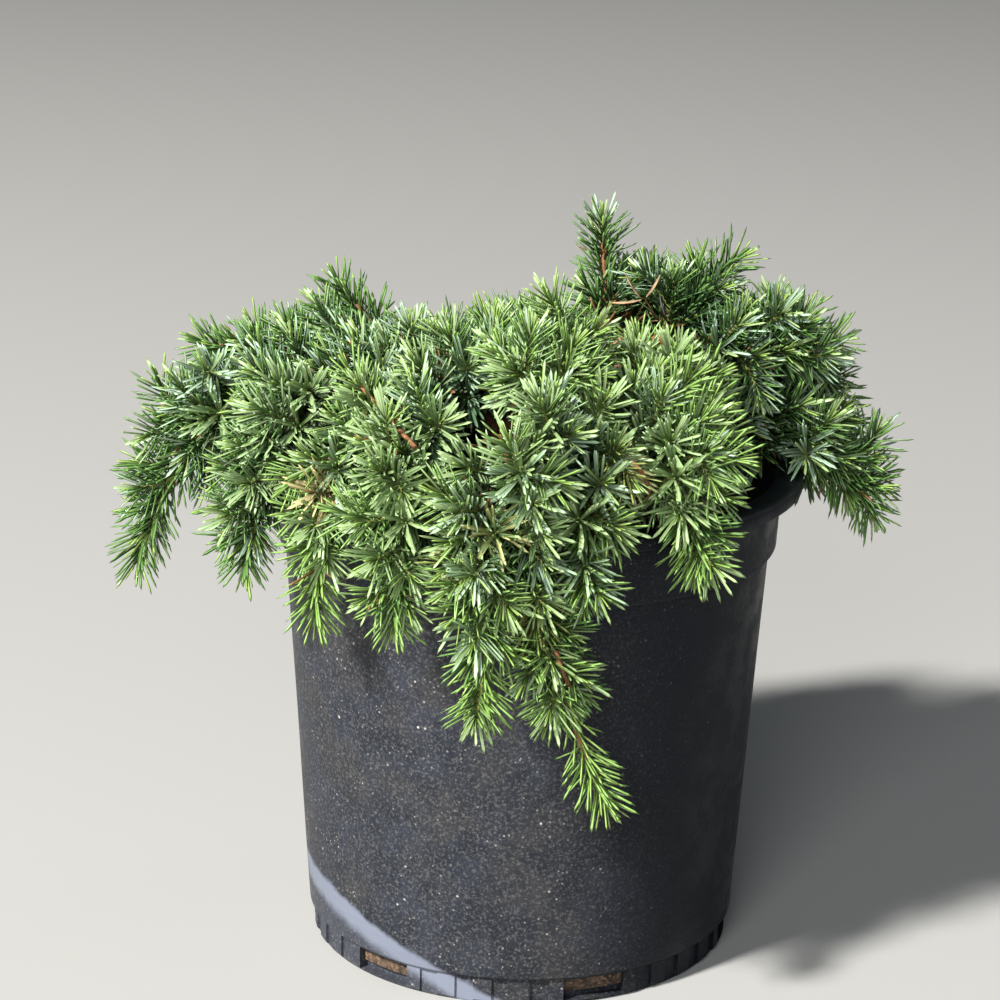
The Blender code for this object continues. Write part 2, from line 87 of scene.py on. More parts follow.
slope = math.radians(CAMERA_SLOPE)
back = Vector((0, -math.cos(slope), math.sin(slope))) * CAMERA_DISTANCE
pitch = Matrix.Rotation(math.radians(90) - slope, 4, "X")
roll = Matrix.Rotation(math.radians(CAMERA_ROLL), 4, "Z")
camera = linked("camera", bpy.data.cameras.new("camera"))
camera.data.lens = LENS
camera.data.sensor_width = SENSOR
camera.matrix_world = Matrix.Translation((CAMERA_TARGET + back) * MM) @ pitch @ roll
bpy.context.scene.camera = camera
print("camera at", tuple(camera.matrix_world.translation))

# %% [markdown]
# A few helpers turn a mesh builder into a finished piece. Every piece ends at the origin, unturned,
# with its place in its own mesh, and rides on the frame's one body.


# %% Helpers that finish a piece
def mesh_from(builder):
    mesh = bpy.data.meshes.new("part")
    builder.to_mesh(mesh)
    builder.free()
    return mesh


def mesh_of(builder):
    """Turns a builder into a mesh whose faces point outwards."""
    bmesh.ops.recalc_face_normals(builder, faces=builder.faces)
    return mesh_from(builder)


def joined(meshes):
    """Joins meshes into one. Each keeps its own shell."""
    builder = bmesh.new()
    for mesh in meshes:
        builder.from_mesh(mesh)
        bpy.data.meshes.remove(mesh)
    return mesh_from(builder)


def smooth(mesh, crease=60):
    """Shades a mesh smoothly, but keeps the edges that turn by more than the crease."""
    mesh.polygons.foreach_set("use_smooth", [True] * len(mesh.polygons))
    mesh.set_sharp_from_angle(angle=math.radians(crease))


def piece_from(mesh, name, finish_slot, nodes, *finishes):
    """Makes a mesh in millimetres a finished piece that stands for some of the frame's nodes."""
    mesh.transform(Matrix.Scale(MM, 4))
    mesh.name = name
    for finish in finishes:
        mesh.materials.append(finish)
    made = linked(name, mesh)
    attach(made, "root")
    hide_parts(*nodes)
    mesh.calc_loop_triangles()
    print(name, "has", len(mesh.loop_triangles), "triangles")


# %% [markdown]
# Materials are small node graphs. This helper adds a node, sets its fields and wires its inputs in
# one call, so that each graph reads as a list of what feeds what.


# %% Helpers for materials
class Graph:
    """A material's node graph, built node by node."""

    def __init__(self, name):
        self.material = bpy.data.materials.new(name)
        self.material.use_nodes = True
        self.tree = self.material.node_tree
        self.shader = self.tree.nodes["Principled BSDF"]

    def add(self, kind, inputs=None, **fields):
        node = self.tree.nodes.new(kind)
        for name, value in fields.items():
            setattr(node, name, value)
        for name, value in (inputs or {}).items():
            self.feed(node.inputs[name], value)
        return node

    def feed(self, socket, value):
        if isinstance(value, bpy.types.NodeSocket):
            self.tree.links.new(value, socket)
        else:
            socket.default_value = value

    def finish(self, **sockets):
        for name, value in sockets.items():
            self.feed(self.shader.inputs[name.replace("_", " ")], value)
        return self.material

    def millimetres(self, scale=(1, 1, 1)):
        """The place on the object in millimetres, stretched along each axis."""
        place = self.add("ShaderNodeTexCoord").outputs["Object"]
        factors = tuple(factor / MM for factor in scale)
        return self.add("ShaderNodeMapping", {"Vector": place, "Scale": factors}).outputs["Vector"]

    def noise(self, grain, detail=3.0, roughness=0.55, stretch=(1, 1, 1)):
        """Noise with lumps of about so many millimetres."""
        vector = self.millimetres(stretch)
        made = self.add("ShaderNodeTexNoise", {"Vector": vector, "Scale": 1 / grain, "Detail": detail,
                                               "Roughness": roughness})
        return made.outputs["Fac"]

    def ramp(self, value, low, high, start=0.0, end=1.0):
        """Maps a value from low..high to start..end, smoothly and held at both ends."""
        made = self.add("ShaderNodeMapRange", {"Value": value, "From Min": low, "From Max": high,
                                               "To Min": start, "To Max": end},
                        interpolation_type="SMOOTHSTEP")
        return made.outputs["Result"]

    def maths(self, operation, first, second=0.0):
        made = self.add("ShaderNodeMath", {0: first, 1: second}, operation=operation)
        return made.outputs["Value"]

    def blend(self, share, first, second):
        """Mixes two colours by a share."""
        made = self.add("ShaderNodeMix", data_type="RGBA")
        self.feed(made.inputs[0], share)
        self.feed(made.inputs[6], first)
        self.feed(made.inputs[7], second)
        return made.outputs[2]

    def bump(self, height, depth):
        """A bump of so many millimetres."""
        made = self.add("ShaderNodeBump", {"Height": height, "Strength": 1.0, "Distance": depth * MM})
        return made.outputs["Normal"]

    def along(self, way):
        """How far a place is along a direction, in millimetres."""
        made = self.add("ShaderNodeVectorMath", {0: self.millimetres(), 1: way}, operation="DOT_PRODUCT")
        return made.outputs["Value"]


# %% [markdown]
# Light and floor. The photograph has sun from the upper left, a little to the front, so the right
# third of the pot is in its own shade. A studio gives the same feeling with one strong soft box
# there, far enough off to light the floor evenly. A wide weak one in front opens the shade between
# the shoots, a blue one behind on the right lines the lip, and the room is pale.

# %% Light and floor
LAMPS = [
    ("key_light", Vector((-2850, -2750, 3500)), 550.0, 740.0, (1.0, 0.985, 0.95)),
    ("fill_light", Vector((1300, 500, 700)), 700.0, 2.5, (0.8, 0.9, 1.0)),
    ("front_light", Vector((-450, -1900, 950)), 900.0, 27.0, (0.97, 0.985, 1.0)),
]
ROOM_COLOR = (0.86, 0.93, 1.0, 1)
ROOM_LIGHT = 0.11
FLOOR_SIZE = 12000.0
FLOOR_COLOR = (0.345, 0.341, 0.329, 1)


def soft_box(name, place, size, power, color):
    """A round area light that looks at the plant."""
    lamp = bpy.data.lights.new(name, "AREA")
    lamp.shape = "DISK"
    lamp.size = size * MM
    lamp.energy = power
    lamp.color = color
    aim = (CAMERA_TARGET - place).normalized().to_track_quat("-Z", "Y").to_matrix().to_4x4()
    linked(name, lamp).matrix_world = Matrix.Translation(place * MM) @ aim


def lay_floor():
    builder = bmesh.new()
    bmesh.ops.create_grid(builder, x_segments=1, y_segments=1, size=FLOOR_SIZE / 2 * MM)
    floor = linked("floor", mesh_from(builder))
    floor.data.materials.append(Graph("pale_floor").finish(Base_Color=FLOOR_COLOR, Roughness=0.9))
    return floor


for lamp_values in LAMPS:
    soft_box(*lamp_values)
room = bpy.data.worlds.new("room")
room.use_nodes = True
sky = room.node_tree.nodes["Background"]
sky.inputs["Color"].default_value = ROOM_COLOR
sky.inputs["Strength"].default_value = ROOM_LIGHT
bpy.context.scene.world = room
lay_floor()
bpy.context.scene.view_settings.view_transform = "Standard"
print("lights:", [light.name for light in bpy.data.lights])

# %% [markdown]
# The pot is thin black plastic: a rolled lip, a plain band under it, a shallow step where the body
# begins, a slight taper, and a narrower foot with notches and drain windows. A wire of its section
# is spun round the upright axis. That gives every ring at once, and the section's numbers are those
# of the frame's own pot, so the two agree.

# %% Pot: section and spin
LIP_RADIUS = 82.5
POT_HEIGHT = 148.8
LIP_HEIGHT = 4.8
WALL = 2.0
BAND_TOP_RADIUS = 76.2
BAND_FOOT_RADIUS = 75.2
GROOVE_RADIUS = 73.0
GROOVE_HEIGHT = 124.6
GROOVE_STEP = 1.6
BODY_FOOT_RADIUS = 65.7
FOOT_RADIUS = 64.3
FOOT_HEIGHT = 9.0
FOOT_ROUND = 1.2
FLOOR = 3.0
POT_STEPS = 192
WALL_RINGS = 10
GAP = 0.3


def pot_section():
    """The pot's section: down the outside from the lip, and back up inside."""
    lip_foot = POT_HEIGHT - LIP_HEIGHT
    inner_lip = BAND_TOP_RADIUS - WALL
    outside = [
        (inner_lip, POT_HEIGHT),
        (LIP_RADIUS, POT_HEIGHT),
        (LIP_RADIUS, lip_foot),
        (LIP_RADIUS - WALL, lip_foot),
        (BAND_TOP_RADIUS, lip_foot + GAP),
        (BAND_FOOT_RADIUS, GROOVE_HEIGHT + GROOVE_STEP),
        (GROOVE_RADIUS, GROOVE_HEIGHT),
        (BODY_FOOT_RADIUS, FOOT_HEIGHT),
        (FOOT_RADIUS, FOOT_HEIGHT - GAP),
        (FOOT_RADIUS, FOOT_ROUND),
        (FOOT_RADIUS - FOOT_ROUND, 0),
        (0, 0),
    ]
    inside = [
        (0, FLOOR),
        (FOOT_RADIUS - WALL, FLOOR),
        (FOOT_RADIUS - WALL + GAP, FOOT_HEIGHT),
        (GROOVE_RADIUS - WALL, GROOVE_HEIGHT),
        (inner_lip, lip_foot),
    ]
    return outside + inside


def spun(section, steps):
    """Spins a closed wire of (radius, height) points round the Z axis."""
    builder = bmesh.new()
    corners = [builder.verts.new((radius, 0, height)) for radius, height in section]
    for low, high in zip(corners, corners[1:] + corners[:1]):
        if low.co.x > 0 or high.co.x > 0:
            builder.edges.new((low, high))
    bmesh.ops.spin(builder, geom=builder.verts[:] + builder.edges[:], cent=(0, 0, 0), axis=UP,
                   angle=math.tau, steps=steps, use_merge=True, use_duplicate=False)
    bmesh.ops.remove_doubles(builder, verts=builder.verts, dist=GAP / 10)
    return builder


def ring_edges(builder, radius, height):
    """The edges that run round the pot at a given radius and height."""
    def on_ring(corner):
        here = math.hypot(corner.co.x, corner.co.y)
        return abs(here - radius) < GAP / 10 and abs(corner.co.z - height) < GAP / 10
    return [edge for edge in builder.edges if all(on_ring(corner) for corner in edge.verts)]


pot_builder = spun(pot_section(), POT_STEPS)
print("pot spun:", len(pot_builder.verts), "corners")

# %% [markdown]
# Real moulded plastic has no knife edges, and a rounded edge is what catches the light. The rings at
# the lip, the step and the foot are bevelled, each with its own radius. Then the body is cut into
# rings and pushed in and out by a hair, since a thin wall is never quite true.

# %% Pot: rounded edges and a slightly uneven wall
ROUND_STEPS = 4
ROUNDS = [
    (BAND_TOP_RADIUS - WALL, POT_HEIGHT, 1.6),
    (LIP_RADIUS, POT_HEIGHT, 2.0),
    (LIP_RADIUS, POT_HEIGHT - LIP_HEIGHT, 1.1),
    (BAND_FOOT_RADIUS, GROOVE_HEIGHT + GROOVE_STEP, 0.7),
    (BODY_FOOT_RADIUS, FOOT_HEIGHT, 0.5),
]
WALL_WOBBLE = 0.22
WOBBLE_GRAIN = 45.0

for radius, height, size in ROUNDS:
    bmesh.ops.bevel(pot_builder, geom=ring_edges(pot_builder, radius, height), offset=size,
                    offset_type="OFFSET", affect="EDGES", segments=ROUND_STEPS, profile=0.5, material=-1)


def tall_edges(builder, low, high):
    """The wall's upright edges, which are long and run between two heights."""
    return [edge for edge in builder.edges
            if edge.calc_length() > (high - low) / 2
            and all(low - WALL < corner.co.z < high + WALL for corner in edge.verts)]


bmesh.ops.subdivide_edges(pot_builder, edges=tall_edges(pot_builder, FOOT_HEIGHT, GROOVE_HEIGHT),
                          cuts=WALL_RINGS, use_grid_fill=True)
for corner in pot_builder.verts:
    if FOOT_HEIGHT + 2 * WALL < corner.co.z < GROOVE_HEIGHT - 2 * WALL:
        push = noise.noise(corner.co / WOBBLE_GRAIN) * WALL_WOBBLE
        outward = Vector((corner.co.x, corner.co.y, 0)).normalized()
        corner.co += outward * push
pot_mesh = mesh_of(pot_builder)
print("pot rounded:", len(pot_mesh.vertices), "corners")

# %% [markdown]
# Notches run up the foot, and six low windows let water out. They are cut with plain blocks in one
# Boolean, as a toolmaker would cut them, and the blocks are then thrown away.

# %% Pot: notches and drain windows
NOTCH_PITCH = 10.0
NOTCH_ARC = 5.0
NOTCH_DEPTH = 0.9
WINDOW_COUNT = 6
WINDOW_ARC = 17.0
WINDOW_HEIGHT = 8.0
WINDOW_FOOT = 1.0
WINDOW_BEARING = -70.0
POT_CREASE = 35


def foot_cutter(bearing, arc, depth, foot, height):
    """A block that cuts one notch or window into the foot."""
    builder = bmesh.new()
    width = 2 * FOOT_RADIUS * math.sin(math.radians(arc / 2))
    reach = BODY_FOOT_RADIUS + WALL
    inner = FOOT_RADIUS - depth
    size = Matrix.Diagonal((reach - inner, width, height, 1))
    middle = Matrix.Translation(((reach + inner) / 2, 0, foot + height / 2))
    turn = Matrix.Rotation(math.radians(bearing), 4, "Z")
    bmesh.ops.create_cube(builder, size=1, matrix=turn @ middle @ size)
    return mesh_of(builder)


def foot_cutters():
    cutters = []
    for count in range(WINDOW_COUNT):
        window = WINDOW_BEARING + 360 / WINDOW_COUNT * count
        cutters.append(foot_cutter(window, WINDOW_ARC, 2 * WALL, WINDOW_FOOT, WINDOW_HEIGHT - WINDOW_FOOT))
        beside = window + 1.5 * NOTCH_PITCH
        while beside < window + 360 / WINDOW_COUNT - NOTCH_PITCH:
            cutters.append(foot_cutter(beside, NOTCH_ARC, NOTCH_DEPTH, -1, FOOT_HEIGHT))
            beside += NOTCH_PITCH
    return cutters


def cut(mesh, cutters):
    """Cuts all the cutters out of a mesh and gives the new mesh."""
    target = linked("uncut", mesh)
    tray = bpy.data.collections.new("cutters")
    bpy.context.scene.collection.children.link(tray)
    for cutter in cutters:
        tray.objects.link(bpy.data.objects.new("cutter", cutter))
    difference = target.modifiers.new("cut", "BOOLEAN")
    difference.operation = "DIFFERENCE"
    difference.solver = "EXACT"
    difference.operand_type = "COLLECTION"
    difference.collection = tray
    view = bpy.context.evaluated_depsgraph_get()
    result = bpy.data.meshes.new_from_object(target.evaluated_get(view))
    for spent in [target, *tray.objects]:
        bpy.data.objects.remove(spent, do_unlink=True)
    bpy.data.collections.remove(tray)
    return result


blocks = foot_cutters()
pot_mesh = cut(pot_mesh, blocks)
smooth(pot_mesh, POT_CREASE)
print("cut into the foot:", len(blocks), "blocks")

# %% [markdown]
# The plastic is satin black, greyed by dust that is bluish in some places and brownish in others.
# Close up it shows a fine grit, thousands of pale flecks and scratches that run round the wall. A pale
# bluish band at the lower left is a painted reflection, and the right side is painted darker and
# blacker as painted shade. Each of these is a mask on the place in millimetres that mixes in a colour
# of its own, and the haze also makes the plastic duller.

# %% Pot plastic
PLASTIC = (0.0145, 0.0165, 0.022, 1)
BLUE_DUST = (0.0255, 0.0285, 0.0385, 1)
BROWN_DUST = (0.029, 0.029, 0.032, 1)
GRIT = (0.125, 0.123, 0.120, 1)
FLECK = (0.46, 0.44, 0.40, 1)
FLECKS = [(1.3, 0.26, 0.30, 0.35), (2.6, 0.17, 0.30, 0.55), (6.0, 0.08, 0.25, 0.9)]
# Painted shade: towards the right side the plastic turns near-black, standing for the shade there.
SHADE_WAY = Vector((0.966, -0.259, 0))
SHADE_RANGE = (22.0, 60.0)
PAINTED_SHADE_PLASTIC = (0.0045, 0.006, 0.0095, 1)
# Painted reflection: a pale bluish band low on the left stands for the sky reflected in the wall.
PAINTED_REFLECTION = (0.155, 0.170, 0.215, 1)
REFLECTION_NORMAL = Vector((-0.448, -0.08, -0.89))
REFLECTION_START = 6.5
REFLECTION_WIDTH = 6.0


def fleck_mask(graph, spacing, size, kept):
    """Small dots, one at most in each cell, of which only some are kept."""
    cells = graph.add("ShaderNodeTexVoronoi", {"Vector": graph.millimetres(), "Scale": 1 / spacing})
    dot = graph.ramp(cells.outputs["Distance"], size, size * 0.6)
    lot = graph.add("ShaderNodeSeparateColor", {"Color": cells.outputs["Color"]}).outputs["Red"]
    return graph.maths("MULTIPLY", dot, graph.maths("GREATER_THAN", lot, 1 - kept))


# The mask of the painted reflection at the lower left.
def painted_reflection_mask(graph):
    """A band below one slanting plane: crisp above, ragged and fading below."""
    ragged = graph.maths("MULTIPLY", graph.noise(6.0), 3.0)
    depth = graph.maths("ADD", graph.along(REFLECTION_NORMAL.normalized()), ragged)
    upper = graph.ramp(depth, REFLECTION_START + 1.0, REFLECTION_START + 3.0)
    lower = graph.ramp(depth, REFLECTION_START + REFLECTION_WIDTH, REFLECTION_START + 1.7 * REFLECTION_WIDTH, 1.0, 0.12)
    return graph.maths("MULTIPLY", upper, lower)


def pot_plastic():
    graph = Graph("dusty_pot_plastic_painted_light")
    haze = graph.ramp(graph.noise(12.0, detail=8.0, roughness=0.72), 0.34, 0.62)
    grit = graph.ramp(graph.noise(0.9, detail=4.0, roughness=0.75), 0.49, 0.63)
    streaks = graph.ramp(graph.noise(2.2, detail=4.0, stretch=(0.06, 0.06, 1.6)), 0.50, 0.74)
    patchy = graph.ramp(graph.noise(9.0, detail=4.0), 0.40, 0.62, 0.15, 1.0)
    dust = graph.blend(graph.ramp(graph.noise(20.0, detail=4.0), 0.42, 0.58), BLUE_DUST, BROWN_DUST)
    color = graph.blend(haze, PLASTIC, dust)
    color = graph.blend(graph.maths("MULTIPLY", streaks, 0.25), color, dust)
    color = graph.blend(graph.maths("MULTIPLY", grit, 0.45), color, GRIT)
    for spacing, size, kept, strength in FLECKS:
        flecks = graph.maths("MULTIPLY", fleck_mask(graph, spacing, size, kept), patchy)
        color = graph.blend(graph.maths("MULTIPLY", flecks, strength), color, FLECK)
    # Painted shade on the right side of the pot.
    painted_shade = graph.ramp(graph.along(SHADE_WAY), *SHADE_RANGE)
    color = graph.blend(graph.maths("MULTIPLY", painted_shade, 0.9), color, PAINTED_SHADE_PLASTIC)
    # Painted reflection at the lower left of the pot.
    color = graph.blend(painted_reflection_mask(graph), color, PAINTED_REFLECTION)
    dullness = graph.ramp(haze, 0, 1, 0.38, 0.55)
    scratch_depth = graph.maths("ADD", graph.maths("MULTIPLY", streaks, 0.4), graph.noise(0.8, detail=2.0))
    return graph.finish(Base_Color=color, Roughness=dullness, Specular_IOR_Level=0.1,
                        Normal=graph.bump(scratch_depth, 0.05))


pot_mesh.materials.clear()
piece_from(pot_mesh, "pot_shell", "pot_plastic", ["pot"], pot_plastic())

# %% [markdown]
# The potting mix is composted bark: a brown filling with a lumpy top. Its body is spun like the pot,
# its top is raised and lowered by noise, and loose chips lie on it. A chip is a small block with its
# edges pulled about.

# %% Potting mix
SOIL_TOP = 127.0
SOIL_FLAT_RADIUS = 24.0
SOIL_STEPS = 96
SOIL_RINGS = 14
LUMP = 1.1
LUMP_GRAIN = 6.0
CHIP_COUNT = 420
CHIP_LENGTH = (2.5, 7.0)
CHIP_BREADTH = (0.3, 0.6)
CHIP_DEPTH = (0.12, 0.25)
CHIP_CORNERS = (0.6, 1.15)
CHIP_TILT = 0.3
SEED = 11


def soil_height(radius):
    """The top is flat round the trunk and falls a little towards the wall."""
    rim = GROOVE_RADIUS - WALL - GAP
    fall = max(0, radius - SOIL_FLAT_RADIUS) / (rim - SOIL_FLAT_RADIUS)
    return SOIL_TOP + (GROOVE_HEIGHT - SOIL_TOP) * fall


def soil_body():
    low = FLOOR + GAP
    foot = FOOT_RADIUS - WALL - GAP
    rim = GROOVE_RADIUS - WALL - GAP
    top = [(rim * ring / SOIL_RINGS, soil_height(rim * ring / SOIL_RINGS)) for ring in range(SOIL_RINGS + 1)]
    builder = spun(top + [(foot, FOOT_HEIGHT), (foot, low), (0, low)], SOIL_STEPS)
    for corner in builder.verts:
        reach = math.hypot(corner.co.x, corner.co.y)
        if corner.co.z > FOOT_HEIGHT + 1 and reach < rim - 1:
            corner.co.z += noise.noise(corner.co / LUMP_GRAIN) * LUMP
    return builder


def bark_chip(rng):
    """One chip of bark lying nearly flat on the mix."""
    builder = bmesh.new()
    length = rng.uniform(*CHIP_LENGTH)
    breadth = length * rng.uniform(*CHIP_BREADTH)
    size = Matrix.Diagonal((length, breadth, length * rng.uniform(*CHIP_DEPTH), 1))
    bmesh.ops.create_cube(builder, size=1, matrix=size)
    for corner in builder.verts:
        corner.co *= rng.uniform(*CHIP_CORNERS)
    reach = (GROOVE_RADIUS - WALL - CHIP_LENGTH[1]) * math.sqrt(rng.random())
    bearing = rng.uniform(0, math.tau)
    place = Vector((reach * math.cos(bearing), reach * math.sin(bearing), soil_height(reach) + GAP))
    tilt = Matrix.Rotation(rng.gauss(0, CHIP_TILT), 4, "X") @ Matrix.Rotation(rng.gauss(0, CHIP_TILT), 4, "Y")
    turn = Matrix.Rotation(rng.uniform(0, math.tau), 4, "Z")
    bmesh.ops.transform(builder, matrix=Matrix.Translation(place) @ tilt @ turn, verts=builder.verts)
    return mesh_of(builder)


chip_rng = random.Random(SEED)
chips = [bark_chip(chip_rng) for count in range(CHIP_COUNT)]
print("chips on the mix:", len(chips))
mix_mesh = joined([mesh_of(soil_body())] + chips)


# %% Potting mix finish
def potting_mix():
    graph = Graph("composted_bark")
    clods = graph.ramp(graph.noise(3.5, detail=6.0), 0.35, 0.65)
    fibres = graph.ramp(graph.noise(1.2, detail=4.0), 0.52, 0.66)
    color = graph.blend(clods, (0.020, 0.013, 0.009, 1), (0.085, 0.052, 0.03, 1))
    color = graph.blend(graph.maths("MULTIPLY", fibres, 0.7), color, (0.20, 0.125, 0.07, 1))
    dullness = graph.ramp(clods, 0, 1, 0.95, 0.8)
    crumbs = graph.bump(graph.noise(1.5, detail=6.0), 0.5)
    return graph.finish(Base_Color=color, Roughness=dullness, Normal=crumbs)


piece_from(mix_mesh, "bark_mix", "potting_mix", ["potting_mix"], potting_mix())

# %% [markdown]
# The plant's skeleton follows the frame: a short trunk, then limbs that each leave their parent at a
# slope, bend over in one arch and end at a known furthest point. The same table of bearings, reaches
# and heights gives the frame's boughs, so new bark lies exactly where the old solids were.

# %% Limbs: one arch each
TRUNK_FOOT = Vector((1, 5, SOIL_TOP + GAP))
TRUNK_FORK = Vector((14, 7, 164))
TRUNK_LEAN = 62.0
TRUNK_RADIUS = 5.4
FORK_RADIUS = 3.7
FLARE_RADIUS = 8.5
FLARE_HEIGHT = 5.0
BOUGH_RADIUS = 2.3
BRANCH_RADIUS = 1.7
BOUGH_TIP_RADIUS = 1.3
STEM_TIP_RADIUS = 0.8
BARE_SHARE = 0.33
BOW = 0.42
END_ROOM = 17.0
SAMPLE_STEP = 1.0
LENGTH_STEPS = 20


def towards(bearing, pitch):
    """A unit direction from its bearing and its slope above the horizontal."""
    turn = math.radians(bearing)
    rise = math.radians(pitch)
    return Vector((math.cos(turn) * math.cos(rise), math.sin(turn) * math.cos(rise), math.sin(rise)))


def arch(start, start_way, end, end_way, bow, share):
    """A point on the smooth arch that leaves start and reaches end in given directions."""
    handle = (end - start).length * bow
    first = start + start_way * handle
    second = end - end_way * handle
    rest = 1 - share
    return (start * rest ** 3 + first * (3 * rest ** 2 * share)
            + second * (3 * rest * share ** 2) + end * share ** 3)


def steps(low, high, count):
    return [low + (high - low) * step / count for step in range(count + 1)]


class Path:
    """Anything that runs from a foot to a tip. A share says how far along it a place is."""

    look = 0.002

    def way(self, share):
        ahead = self.point(min(share + self.look, 1))
        return (ahead - self.point(max(share - self.look, 0))).normalized()


class Limb(Path):
    """A limb along one arch: bare bough up to the share 'bare', leafy stem beyond."""

    def __init__(self, name, start, start_way, end, end_way, bow, bare, root, tip, brush=1.0):
        self.name = name
        self.ends = (start, start_way, end, end_way, bow)
        self.bare = bare
        self.root = root
        self.tip = tip
        self.brush = brush

    def point(self, share):
        return arch(*self.ends, share)

    def radius(self, share):
        if share <= self.bare:
            return self.root + (self.tip - self.root) * share / self.bare
        along = (share - self.bare) / (1 - self.bare)
        return self.tip + (STEM_TIP_RADIUS - self.tip) * along

    def length(self):
        points = [self.point(share) for share in steps(0, 1, LENGTH_STEPS)]
        return sum((after - before).length for before, after in zip(points, points[1:]))

    def samples(self, low, high):
        """Points with their radius along part of the limb."""
        count = max(2, int(self.length() * (high - low) / SAMPLE_STEP))
        return np.array([(*self.point(share), self.radius(share)) for share in steps(low, high, count)])


class Trunk(Limb):
    def __init__(self):
        lean = (TRUNK_FORK - TRUNK_FOOT).normalized()
        bearing = math.degrees(math.atan2(lean.y, lean.x))
        fork_way = towards(bearing, TRUNK_LEAN)
        super().__init__("trunk", TRUNK_FOOT, UP, TRUNK_FORK, fork_way, BOW, 1, TRUNK_RADIUS, FORK_RADIUS)

    def radius(self, share):
        rise = self.point(share).z - TRUNK_FOOT.z
        flare = max(0, 1 - rise / FLARE_HEIGHT) ** 2
        return super().radius(share) + (FLARE_RADIUS - TRUNK_RADIUS) * flare


def limb_on(parent, name, at, bearing, reach, height, leave, end, bare=BARE_SHARE, bow=BOW, veer=0, swing=0,
            brush=1.0):
    """A limb that leaves its parent at a share of its bare length and ends in a mass.

    veer and swing turn its start and its end out of the upright plane through both, and
    brush is the length of its side shoots against the usual one.
    """
    share = at * parent.bare
    seat = parent.point(share)
    parent_way = parent.way(share)
    thick = parent.radius(share)
    last = towards(bearing, 0) * reach + UP * height
    heading = math.degrees(math.atan2(last.y - seat.y, last.x - seat.x))
    root = BOUGH_RADIUS if parent.name == "trunk" else BRANCH_RADIUS
    if at == 1:
        way = parent_way
        start = seat + way * GAP
        root = thick
    else:
        way = towards(heading + veer, leave)
        along = way.dot(parent_way)
        side = (way - parent_way * along).normalized()
        start = seat + side * (thick + GAP + root * abs(along))
    end_way = towards(heading + swing, end)
    stem_end = last - end_way * END_ROOM
    return Limb(name, start, way, stem_end, end_way, bow, bare, root, BOUGH_TIP_RADIUS, brush)


trunk = Trunk()
limbs = {}
print("trunk:", round(trunk.length(), 1), "mm long")


# %% Limbs: the whole plant
# Each row is a limb's name, its parent, its seat as a share of the parent's bare length, its bearing,
# reach and height at its end, its slopes at start and end, and whatever isn't as usual.
PLAN = [
    ("top_peak", "trunk", 1.0, 49, 31, 229, 60, 100, {"bare": 0.4, "brush": 0.5}),
    ("left_outer", "trunk", 0.55, -174, 121, 107, 36, -72, {"bow": 0.5}),
    ("left_back_top", "trunk", 0.72, 147, 80, 202, 20, 45, {"brush": 0.65}),
    ("front_left_low", "trunk", 0.42, -131, 92, 110, 46, -85, {"bow": 0.58, "brush": 0.9}),
    ("hang_right", "trunk", 0.7, -74, 100, 66, 18, -65,
     {"bow": 0.92, "veer": -10, "swing": 65, "brush": 1.05, "bare": 0.2}),
    ("front_right", "trunk", 0.34, -59, 91, 127, 42, -80, {"bow": 0.52}),
    ("right_low", "trunk", 0.6, 4, 113, 122, 40, -52, {"bow": 0.46, "brush": 1.05}),
    ("back_right", "trunk", 0.36, 58, 98, 124, 42, -65, {"bow": 0.5}),
    ("back", "trunk", 0.62, 92, 100, 116, 32, -72, {"bow": 0.48, "brush": 0.75}),
    ("back_left", "trunk", 0.42, 124, 100, 120, 30, -68, {"bow": 0.48, "brush": 0.7}),
    ("centre", "trunk", 0.86, -78, 38, 200, 55, 60, {"bare": 0.2, "brush": 1.3}),
    ("left_upper", "left_outer", 0.6, 171, 112, 182, 60, 10, {"brush": 0.72}),
    ("left_middle", "left_outer", 0.3, -156, 78, 185, 70, 15, {"bare": 0.22}),
    ("left_front", "left_outer", 0.9, -148, 98, 118, 30, -75, {"brush": 0.9}),
    ("left_back", "left_back_top", 0.5, 163, 114, 147, 8, -45, {"brush": 0.9}),
    ("front_left", "front_left_low", 0.85, -113, 95, 113, 20, -88, {"brush": 0.9}),
    ("front_centre_left", "front_left_low", 0.3, -121, 70, 181, 70, 5, {"bare": 0.22, "brush": 1.1}),
    ("centre_left", "left_back_top", 0.2, -170, 54, 187, 58, 25, {"bare": 0.2, "brush": 0.9}),
    ("front_centre", "hang_right", 0.6, -81, 94, 123, 30, -82, {"veer": 20, "brush": 0.9, "bare": 0.25}),
    ("hang_left", "hang_right", 0.9, -97, 96, 92, 22, -95, {"bow": 0.5, "brush": 0.9, "bare": 0.22}),
    ("front_middle", "hang_right", 0.45, -90, 78, 176, 66, -15, {"bare": 0.22, "brush": 1.3}),
    ("right_bright", "front_right", 0.5, -31, 76, 176, 60, 0, {"bare": 0.22, "brush": 1.15}),
    ("right_outer", "right_low", 0.5, 1, 103, 189, 60, 10, {"bare": 0.25}),
    ("right_top", "top_peak", 0.5, 12, 71, 217, 30, 45, {"brush": 0.8}),
    ("top_back", "top_peak", 0.8, 42, 66, 203, 30, 35, {"brush": 0.9}),
    ("centre_top", "top_peak", 0.3, 85, 22, 200, 60, 70, {}),
    ("right_back", "back_right", 0.45, 17, 111, 152, 30, -40, {}),
    ("back_centre", "back", 0.35, 104, 62, 178, 60, 20, {"brush": 0.9}),
]

for name, on, seat_share, *sizes, unusual in PLAN:
    limbs[name] = limb_on(limbs.get(on, trunk), name, seat_share, *sizes, **unusual)
print("limbs:", len(limbs))

# %% [markdown]
# Bark. A limb is drawn by pushing one ring of corners along its arch and turning and shrinking it at
# each step. Old wood then gets real relief: ridges that run along the limb, and flakes across them.

